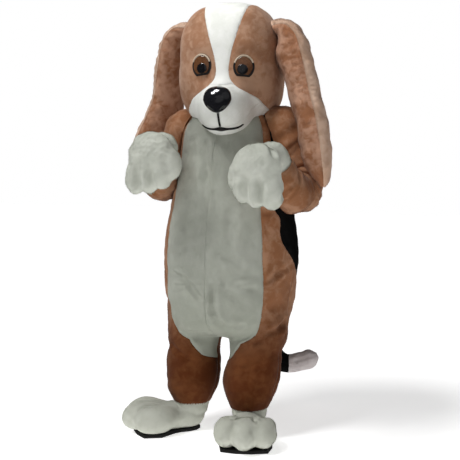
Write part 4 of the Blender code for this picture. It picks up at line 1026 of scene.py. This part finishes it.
def laid_line(name, nodes, xs, zs, half):
    """A rounded felt line laid along the face."""
    along = unit(np.stack([np.gradient(xs), np.gradient(zs)], axis=-1))
    part = np.linspace(-1, 1, 9)
    x = xs[:, None] - along[:, 1:2] * part[None, :] * half[:, None]
    z = zs[:, None] + along[:, 0:1] * part[None, :] * half[:, None]
    high = LAID_GAP + LINE_HIGH * np.repeat(np.sqrt(1 - 0.84 * part**2)[None, :], len(xs), axis=0)
    return laid(name, felt, nodes, x, z, np.full_like(high, LINE_GAP), high)


nose_look = speckle(gloss("nose vinyl", (0.01, 0.01, 0.012), 0.12), (0.004, 0.004, 0.005),
                    (0.012, 0.012, 0.015), 120.0, 0.03, 0.0004)
laid_disc("nose_moulding", nose_look, ["nose"], (0.0, NOSE_Z), nose_outline, NOSE_GAP, 0.012,
          0.022, 96, 22, 0.006)
line_z = np.linspace(NOSE_Z - NOSE_TALL - 0.004, MOUTH_Z + 2 * LINE_HALF + 0.004, 22)
laid_line("mouth_upright", ["philtrum"], np.zeros_like(line_z), line_z, np.full_like(line_z, LINE_HALF * 1.15))
line_x = np.linspace(-MOUTH_HALF, MOUTH_HALF, 70)
from_end = MOUTH_HALF - np.abs(line_x)
thick = LINE_HALF * (0.35 + 1.25 * np.exp(-((line_x / 0.020) ** 2)) + 0.5 * soft_step(from_end / 0.03))
laid_line("mouth_line", ["mouth"], line_x, mouth_rise(line_x), thick)

# Ears: long flaps of two plush faces, brown in front and paler behind, sewn round the edge, lightly
# stuffed and sewn to the head's sides. They roll over at the top and hang over the shoulders, the right
# one swept back by the raised arm.
EAR_NAMES = ("x", "y", "height", "chord", "thick", "inward")
EAR = (
    (0.150, 0.040, 1.712, 0.110, 0.056, 0.000), (0.202, 0.036, 1.727, 0.126, 0.064, 0.000),
    (0.244, 0.032, 1.717, 0.146, 0.076, 0.010), (0.278, 0.027, 1.680, 0.160, 0.090, 0.032),
    (0.300, 0.020, 1.622, 0.168, 0.100, 0.044), (0.322, 0.012, 1.550, 0.170, 0.102, 0.034),
    (0.348, 0.000, 1.450, 0.170, 0.106, 0.024), (0.388, -0.035, 1.340, 0.170, 0.110, 0.014),
    (0.424, -0.075, 1.230, 0.168, 0.106, 0.020), (0.446, -0.098, 1.140, 0.136, 0.084, 0.014),
    (0.455, -0.104, 1.090, 0.090, 0.050, 0.000), (0.458, -0.106, 1.066, 0.034, 0.018, 0.000),
)
EAR_SPLAY = math.radians(25)
EAR_SWING = {"left": (0.004, 0.008, -0.012, -0.002), "right": (-0.009, -0.001, 0.118, 0.010)}
EAR_FULL = {"left": 1.0, "right": 0.0}
EAR_ALONG, EAR_ROUND = 104, 22
EAR_PUCKER, EAR_PUCKER_PACE, EAR_PILE = 0.0022, 150, 0.0070
EAR_UNEVEN = ((0.0032, 0.09), (0.0016, 0.035))
EAR_FRONT_OFF, EAR_BACK_OFF, EAR_BARE = 0.0035, 0.0032, 0.005


def ear_half(name, word, side, way, look, node, seed):
    at, points, tangents, _, _, extra = spine(EAR, EAR_NAMES, EAR_ALONG)
    top_out, low_out, back, rise = EAR_SWING[word]
    low = soft_step((at - 0.08) / 0.62)
    points = points + np.stack([top_out + (low_out - top_out) * low, back * low, rise * (1 - low)], axis=-1)
    ahead = np.array([math.sin(EAR_SPLAY), -math.cos(EAR_SPLAY), 0.0])
    chord = unit(ahead - tangents * (tangents @ ahead)[:, None])
    face = np.cross(tangents, chord) * way
    turn = np.linspace(0, math.pi, EAR_ROUND + 1)
    wide, thick = extra["chord"] / 2, extra["thick"] / 2 + max(way, 0) * EAR_FULL[word] * extra["inward"]
    across = np.cos(turn)[None, :, None] * wide[:, None, None] * chord[:, None, :]
    bulge = np.sin(turn)[None, :, None] ** 0.8 * thick[:, None, None] * face[:, None, :]
    hand = np.array([side, 1, 1])
    seat = face[:, None, :] * SEAM
    p = (points[:, None, :] + across + bulge + seat) * hand
    n = unit(np.cos(turn)[None, :, None] / wide[:, None, None] * chord[:, None, :]
             + np.maximum(np.sin(turn), 0.05)[None, :, None] / thick[:, None, None] * face[:, None, :]) * hand
    rim = np.sin(turn)[None, :]
    waves = np.sin(at[:, None] * EAR_PUCKER_PACE + 3 * ripple(p, 0.2, seed))
    lift = EAR_PUCKER * waves * np.exp(-((rim / 0.45) ** 2)) + uneven(p, EAR_UNEVEN, seed + 1)
    skin = p + n * (lift * soft_step(rim / 0.35))[..., None]
    back_face = (points[:, None, :] + across + seat) * hand

    def head_gap(q):
        return head_field(head_unplace(q))

    skin = clear_of(skin, head_gap, EAR_FRONT_OFF)
    back_face = clear_of(back_face, head_gap, EAR_BACK_OFF)
    made = cloth(name, skin, back_face, look, [node])
    keep = head_gap(skin) > EAR_BARE
    keep = keep[:-1, :-1] & keep[1:, :-1] & keep[:-1, 1:] & keep[1:, 1:]
    way_down = (tangents * hand).mean(axis=0)
    pile(name + "_pile", skin, facing(skin, n), look, EAR_PILE, way_down, seed, keep=keep)


# The pale patch colours of both ear faces are painted sheen
ear_front = plush("brown ear front plush", root=(0.27, 0.112, 0.052), tip=(0.38, 0.175, 0.092),
                  brushed_sheen=(0.58, 0.35, 0.24), patch=0.8)
ear_back = plush("brown ear back plush", root=(0.48, 0.30, 0.20), tip=(0.60, 0.40, 0.29),
                 brushed_sheen=(0.72, 0.54, 0.42), sheen_base_share=0.1, patch=0.5)
for side, word, seed in ((1.0, "left", 80), (-1.0, "right", 90)):
    ear_half("ear_" + word + "_front", word, side, 1.0, ear_front, "ear_outer_" + word, seed)
    ear_half("ear_" + word + "_back", word, side, -1.0, ear_back, "ear_inner_" + word, seed + 3)

# Mitts: gloves of white plush with a thumb and three fingers, which are drawn in by stitched lines.
# Each has a narrow cuff that is tucked in its sleeve.
HANDS = {"left": (0.292, -0.385, 1.118), "right": (-0.170, -0.385, 1.166)}
CUFF_IN, CUFF_OUT, BRIDGE_RADIUS, BRIDGE_UP = 0.040, 0.045, 0.060, 0.030
HAND_TURN, HAND_SINK, HEM_GAP, CUFF_ROOM = 1.1, 0.75, 0.001, 0.003
TUCK_CLEAR, TUCK_BLEND, MITT_BLEND = 0.0006, 0.003, 0.012
CUFF_ROWS, MITT_ROWS, MITT_ROUND, CAD_SIDES, MITT_FAR = 7, 61, 84, 14, 0.4
MITT_UNEVEN = ((0.0016, 0.05), (0.0008, 0.022))
MITT_FORMS = (
    # middle x, y, z, then half width, half depth, half height; +x is the thumb's side
    ((0.000, 0.000, 0.020), (0.100, 0.060, 0.100)),
    ((-0.068, -0.004, -0.066), (0.044, 0.050, 0.068)),
    ((-0.004, -0.006, -0.062), (0.040, 0.052, 0.066)),
    ((0.052, -0.004, -0.046), (0.040, 0.050, 0.064)),
    ((0.092, 0.016, -0.012), (0.032, 0.042, 0.058)),
)
# Stitched lines between the fingers, the thumb's crease and the wrist's: from, to, half width, depth
MITT_CREASES = (
    ((-0.036, -0.060, -0.010), (-0.037, -0.040, -0.135), 0.012, 0.0150),
    ((0.024, -0.062, -0.015), (0.025, -0.040, -0.125), 0.012, 0.0135),
    ((0.076, -0.030, 0.000), (0.078, -0.010, -0.085), 0.012, 0.0125),
    ((-0.050, 0.010, 0.105), (-0.090, -0.030, 0.070), 0.014, 0.0120),
)


def capsule(p, start, end, radius):
    line = end - start
    t = np.clip(((p - start) @ line) / (line @ line), 0, 1)
    return np.linalg.norm(p - start - t[..., None] * line, axis=-1) - radius


def keep_out(p, end, ahead, radius):
    """Over zero in the room that a cuff takes behind its own end."""
    along = (p - end) @ ahead
    aside = np.linalg.norm(p - end - along[..., None] * ahead, axis=-1)
    return np.minimum(HEM_GAP - along, radius + CUFF_ROOM - aside)


# The pale patch colour of the mitts is painted sheen
mitt_white = plush("white mitt plush", root=(0.55, 0.57, 0.50), tip=(0.62, 0.64, 0.565),
                   brushed_sheen=(0.76, 0.77, 0.70), patch=0.35)


def rounded(name, look, nodes, skin, n, seed, comb):
    """A hollow plush bag from rings of points that close at a pole."""
    lining = skin - CLOTH * n
    made = cloth(name, skin, lining, look, nodes, True)
    fur = pile(name + "_pile", skin, facing(skin, n, True), look, MITT_PILE, comb, seed, ring=True)


for arm, seed in (("left", 100), ("right", 104)):
    side = 1.0 if arm == "right" else -1.0
    hand = np.array(HANDS[arm])
    _, points, tangents, across, other, extra = spine(ARMS[arm], ARM_NAMES, 18)
    end, ahead = points[-1], tangents[-1]
    cuff = float(extra["radius"][-1])
    radius = (cuff - CLOTH) * math.cos(math.pi / CAD_SIDES) - TUCK_CLEAR
    knuckle = end + ahead * CUFF_OUT
    forms = [(hand + np.array(middle) * (side, 1, 1), radii) for middle, radii in MITT_FORMS]

    def mitt_field(p):
        skin = ellipsoid(p, *forms[0])
        for form in forms[1:]:
            skin = soft_min(skin, ellipsoid(p, *form), MITT_BLEND)
        bridge = capsule(p, knuckle, hand + np.array([0, 0, BRIDGE_UP]), BRIDGE_RADIUS)
        skin = soft_min(skin, bridge, MITT_BLEND)
        skin = np.maximum(skin, keep_out(p, end, ahead, cuff))
        return soft_min(skin, capsule(p, end - ahead * 0.3, knuckle, radius), TUCK_BLEND)

    neck_turn = math.atan2(radius, CUFF_OUT + HEM_GAP)
    inner = np.linspace(math.atan2(radius, CUFF_OUT + CUFF_IN), neck_turn, CUFF_ROWS)
    polar = np.concatenate([inner, np.linspace(neck_turn, math.pi, MITT_ROWS + 1)[1:]])
    turn = np.linspace(0, 2 * math.pi, MITT_ROUND, endpoint=False)
    around = np.cos(turn)[:, None] * across[-1] + np.sin(turn)[:, None] * other[-1]
    direction = -np.cos(polar)[None, :, None] * ahead + np.sin(polar)[None, :, None] * around[:, None, :]
    sunk = soft_step((polar - neck_turn) / HAND_TURN)
    origin = knuckle + (sunk[:, None] * (hand - knuckle) * HAND_SINK)[None, :, :]
    p = cast(mitt_field, origin, direction, MITT_FAR)
    n = outward(mitt_field, p)
    local = (p - hand) * (side, 1, 1)
    free = soft_step((polar - neck_turn) / 0.35)[None, :]
    lift = creases(local, MITT_CREASES) + uneven(p, MITT_UNEVEN, seed)
    skin = p + n * (lift * free)[..., None]
    rounded("mitt_" + arm + "_glove", mitt_white, ["mitt_" + arm], skin, n, seed,
            (0.0, -0.35, -1.0))

# Boots: bulbous uppers of white plush over padding with three toe lobes, glued to thin black rubber
# soles. Their ankles are tucked in the trouser hems.
SOLE_THICK, CUFF_TOP, ANKLE_FOOT, BOOT_BLEND = 0.012, 0.200, 0.115, 0.018
BOOT_OUT = {"left": math.radians(19), "right": math.radians(47)}
ANKLE = (LEG["radius"][0] - CLOTH) * math.cos(math.pi / CAD_SIDES) - TUCK_CLEAR
BOOT_UNEVEN = ((0.0018, 0.06), (0.0008, 0.025))
BOOT_HEART = np.array([0.0, -0.02, 0.075])
BOOT_ROUND, CUFF_STEPS, BOOT_ROWS, BOOT_FAR = 88, 5, 50, 0.4
BOOT_FORMS = (
    # middle x, y, z from the ankle's foot, then half width, half depth, half height
    ((0.000, -0.020, 0.062), (0.068, 0.074, 0.060)),
    ((0.000, -0.095, 0.062), (0.080, 0.105, 0.060)),
    ((-0.076, -0.184, 0.070), (0.052, 0.092, 0.062)),
    ((0.000, -0.216, 0.072), (0.052, 0.096, 0.066)),
    ((0.076, -0.184, 0.070), (0.052, 0.092, 0.062)),
)
BOOT_CREASES = (
    ((-0.040, -0.150, 0.140), (-0.045, -0.300, 0.080), 0.010, 0.0075),
    ((0.040, -0.150, 0.140), (0.045, -0.300, 0.080), 0.010, 0.0075),
    ((-0.070, -0.070, 0.105), (0.070, -0.070, 0.105), 0.010, 0.0050),
    ((-0.060, 0.040, 0.070), (0.060, 0.040, 0.070), 0.010, 0.0040),
)


def boot_field(p):
    skin = ellipsoid(p, np.array(BOOT_FORMS[0][0]), BOOT_FORMS[0][1])
    for middle, radii in BOOT_FORMS[1:]:
        skin = soft_min(skin, ellipsoid(p, np.array(middle), radii), BOOT_BLEND)
    skin = np.maximum(skin, keep_out(p, np.array([0, 0, HEM]), np.array([0, 0, -1.0]), LEG["radius"][0]))
    skin = soft_min(skin, capsule(p, np.array([0, 0, ANKLE_FOOT]), np.array([0, 0, 0.4]), ANKLE), TUCK_BLEND)
    return -soft_min(-skin, p[..., 2] - SOLE_THICK - 2 * SEAM, 0.010)


# The pale patch colour of the boots is painted sheen
boot_plush = plush("white boot plush", root=(0.56, 0.57, 0.49), tip=(0.64, 0.66, 0.58),
                   brushed_sheen=(0.73, 0.74, 0.67), patch=0.35)
rubber = speckle(gloss("black rubber", (0.012, 0.011, 0.012), 0.6, 0.0), (0.008, 0.008, 0.008),
                 (0.028, 0.027, 0.026), 260.0, 0.25, 0.0006)
for side, word, seed in ((1.0, "left", 110), (-1.0, "right", 114)):
    base = np.array([side * float(LEG["side"][0]), float(LEG["middle_y"][0]), 0.0])
    splay = BOOT_OUT[word] * side
    out = np.array([[math.cos(splay), -math.sin(splay), 0], [math.sin(splay), math.cos(splay), 0], [0, 0, 1]])
    turn = np.linspace(0, 2 * math.pi, BOOT_ROUND, endpoint=False)
    around = np.stack([np.cos(turn), np.sin(turn), np.zeros_like(turn)], axis=-1)
    ahead = around @ BOOT_HEART
    to_cuff = np.sqrt(ahead**2 + ANKLE**2 - BOOT_HEART[1] ** 2) - ahead
    top_lean = np.arctan2(to_cuff, CUFF_TOP - BOOT_HEART[2])
    hem_lean = np.arctan2(to_cuff, HEM - 2.5 * HEM_GAP - BOOT_HEART[2])
    up = np.linspace(0, 1, CUFF_STEPS + 1)[:-1]
    down = np.linspace(0, 1, BOOT_ROWS)
    lean = np.concatenate([top_lean[:, None] + (hem_lean - top_lean)[:, None] * up,
                           hem_lean[:, None] + (math.pi - hem_lean)[:, None] * down], axis=1)
    direction = np.sin(lean)[..., None] * around[:, None, :]
    direction[..., 2] = np.cos(lean)
    p = cast(boot_field, BOOT_HEART, direction, BOOT_FAR)
    n = outward(boot_field, p)
    free = (np.arange(lean.shape[1]) > CUFF_STEPS + 1)[None, :] * soft_step((p[..., 2] - 0.016) / 0.02)
    lift = creases(p, BOOT_CREASES) + uneven(p, BOOT_UNEVEN, seed)
    skin = p + n * (lift * free)[..., None]
    rounded("boot_" + word + "_upper", boot_plush, ["boot_" + word], base + skin @ out.T,
            n @ out.T, seed, tuple(out @ np.array([0.0, -0.7, -0.7])))
    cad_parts["sole_" + word].data.materials.clear()
    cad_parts["sole_" + word].data.materials.append(rubber)

# Tail: a stuffed plush tube with one long seam, black with a white tip sewn on. It is sewn to the seat
# and swings to the wearer's left.
TAIL_NAMES = ("x", "y", "height", "radius")
TAIL = (
    (0.000, 0.180, 0.640, 0.046), (0.000, 0.262, 0.590, 0.046), (0.000, 0.325, 0.472, 0.045),
    (0.010, 0.360, 0.348, 0.044), (0.045, 0.378, 0.252, 0.043), (0.105, 0.392, 0.208, 0.043),
    (0.175, 0.420, 0.216, 0.043), (0.227, 0.440, 0.236, 0.037), (0.247, 0.448, 0.246, 0.015),
)
TAIL_SPLIT, TAIL_ROUND, TAIL_SEAM, PILE_ROOM = 16 / 20, 40, 0.0004, 0.0035
TAIL_UNEVEN, TAIL_PULL = ((0.0018, 0.05), (0.0009, 0.02)), 0.0045


def tail_piece(name, look, node, start, end, count, seed):
    at, points, tangents, across, other, extra = spine(TAIL, TAIL_NAMES, count, start, end)
    turn = np.linspace(0, 2 * math.pi, TAIL_ROUND, endpoint=False)
    way = round_spine(turn, across, other)
    p = points[:, None, :] + extra["radius"][:, None, None] * way
    seam = np.exp(-((np.angle(np.exp(1j * (turn - 1.2))) / 0.16) ** 2))[None, :]
    lift = uneven(p, TAIL_UNEVEN, seed) - TAIL_PULL * seam
    ends = soft_step(np.minimum(at - start, end - at) / 0.02)[:, None]
    skin = p + way * (lift * ends)[..., None]
    skin = clear_of(skin, suit_field, PILE_ROOM)
    close = np.repeat(skin[-1:].mean(axis=1, keepdims=True), TAIL_ROUND, axis=1)
    open_end = np.repeat(skin[:1].mean(axis=1, keepdims=True), TAIL_ROUND, axis=1)
    full = np.concatenate([open_end, skin, close]).transpose(1, 0, 2)
    ways = np.concatenate([way[:1], way, np.repeat(tangents[-1:, None], TAIL_ROUND, axis=1)]).transpose(1, 0, 2)
    cells, _ = faces_of(full.shape[:2], True)
    made = piece(name, full.reshape(-1, 3), cells, look, [node])
    keep = np.ones((TAIL_ROUND, full.shape[1] - 1), dtype=bool)
    keep[:, 0] = False
    pile(name + "_pile", full, facing(full, ways, True), look, SUIT_PILE, tangents.mean(axis=0), seed,
         ring=True, keep=keep)


# The pale patch colour of the tail's white is painted sheen
# The tail's white is painted brighter than the suit's white plush: painted light on a tip that lies in the
# body's shade
tail_white = plush("white tail plush", root=(0.72, 0.66, 0.65), tip=(0.82, 0.76, 0.75),
                   brushed_sheen=(0.90, 0.85, 0.84), patch=0.35)
tail_piece("tail_black", black_plush, "tail_base", 0.0, TAIL_SPLIT, 66, 120)
tail_piece("tail_white_tip", tail_white, "tail_tip", TAIL_SPLIT + TAIL_SEAM, 1.0, 30, 124)

# Floor, light and camera: a plain pale studio floor, a broad sun from above and in front, on the
# wearer's right, two weak suns that fill the shade, and a soft lamp above the head. The camera's place
# is judged from the photo.
floor = bpy.data.meshes.new("floor")
FLOOR_HALF, FLOOR_LEVEL = 14, -1.4204
corners = [(x * FLOOR_HALF, y * FLOOR_HALF, FLOOR_LEVEL) for x, y in ((-1, -1), (1, -1), (1, 1), (-1, 1))]
floor.from_pydata(corners, [], [(0, 1, 2, 3)])
floor_piece = bpy.data.objects.new("floor", floor)
bpy.context.scene.collection.objects.link(floor_piece)
floor_look = speckle(gloss("pale studio floor", (0.9, 0.9, 0.9), 0.7, 0.0), (0.92, 0.92, 0.92),
                     (0.95, 0.95, 0.95), 3.0, 0.02, 0.001)
floor_shader = floor_look.node_tree.nodes["Principled BSDF"]
floor_shader.inputs["Emission Color"].default_value = (1, 1, 1, 1)
floor_shader.inputs["Emission Strength"].default_value = 0.62
floor.materials.append(floor_look)
floor_piece.visible_glossy = False


def studio_light(name, kind, strength, turn, place=(0.0, 0.0, 0.0), angle=0.0, size=0.0):
    lamp = bpy.data.lights.new(name, kind)
    lamp.energy = strength
    if kind == "SUN":
        lamp.angle = angle
    else:
        lamp.size = size
    item = bpy.data.objects.new(name, lamp)
    item.location = place
    item.rotation_euler = tuple(math.radians(a) for a in turn)
    bpy.context.scene.collection.objects.link(item)


studio_light("key light", "SUN", 1.50, (35, 0, -36), angle=0.30)
studio_light("front light", "SUN", 0.10, (72, 0, 20), angle=0.9)
studio_light("side light", "SUN", 0.08, (52, 0, 70), angle=0.9)
studio_light("top lamp", "AREA", 15.0, (27, 0, -16), (-0.18, -0.65, 1.60), size=0.45)

# The sky is white where the camera sees it, dim for the cloth, and dimmer still in the gloss of the eyes
world = bpy.data.worlds.new("studio")
world.use_nodes = True
sky_nodes, join = world.node_tree.nodes, world.node_tree.links.new
path = sky_nodes.new("ShaderNodeLightPath")
behind = sky_nodes["Background"].outputs["Background"]
sky_nodes["Background"].inputs["Color"].default_value = (1.0, 1.0, 1.0, 1.0)
sky_nodes["Background"].inputs["Strength"].default_value = 0.10
for ray, strength in (("Is Glossy Ray", 0.03), ("Is Camera Ray", 1.0)):
    shine = sky_nodes.new("ShaderNodeBackground")
    shine.inputs["Color"].default_value = (1.0, 1.0, 1.0, 1.0)
    shine.inputs["Strength"].default_value = strength
    either = sky_nodes.new("ShaderNodeMixShader")
    join(path.outputs[ray], either.inputs["Fac"])
    join(behind, either.inputs[1])
    join(shine.outputs["Background"], either.inputs[2])
    behind = either.outputs["Shader"]
join(behind, sky_nodes["World Output"].inputs["Surface"])
bpy.context.scene.world = world
bpy.context.scene.view_settings.view_transform = "Standard"

lens = bpy.data.cameras.new("camera")
lens.lens = 72.16
lens.sensor_width = 36.0
camera = bpy.data.objects.new("camera", lens)
VIEW_SIDE, VIEW_DOWN, VIEW_FAR, VIEW_HEIGHT = math.radians(25), math.radians(4.77), 4.0, 1.2
camera.location = (VIEW_FAR * math.sin(VIEW_SIDE), -VIEW_FAR * math.cos(VIEW_SIDE), VIEW_HEIGHT - SHOULDERS[2])
camera.rotation_euler = (math.radians(90) - VIEW_DOWN, 0.0, VIEW_SIDE)
bpy.context.scene.collection.objects.link(camera)
bpy.context.scene.camera = camera
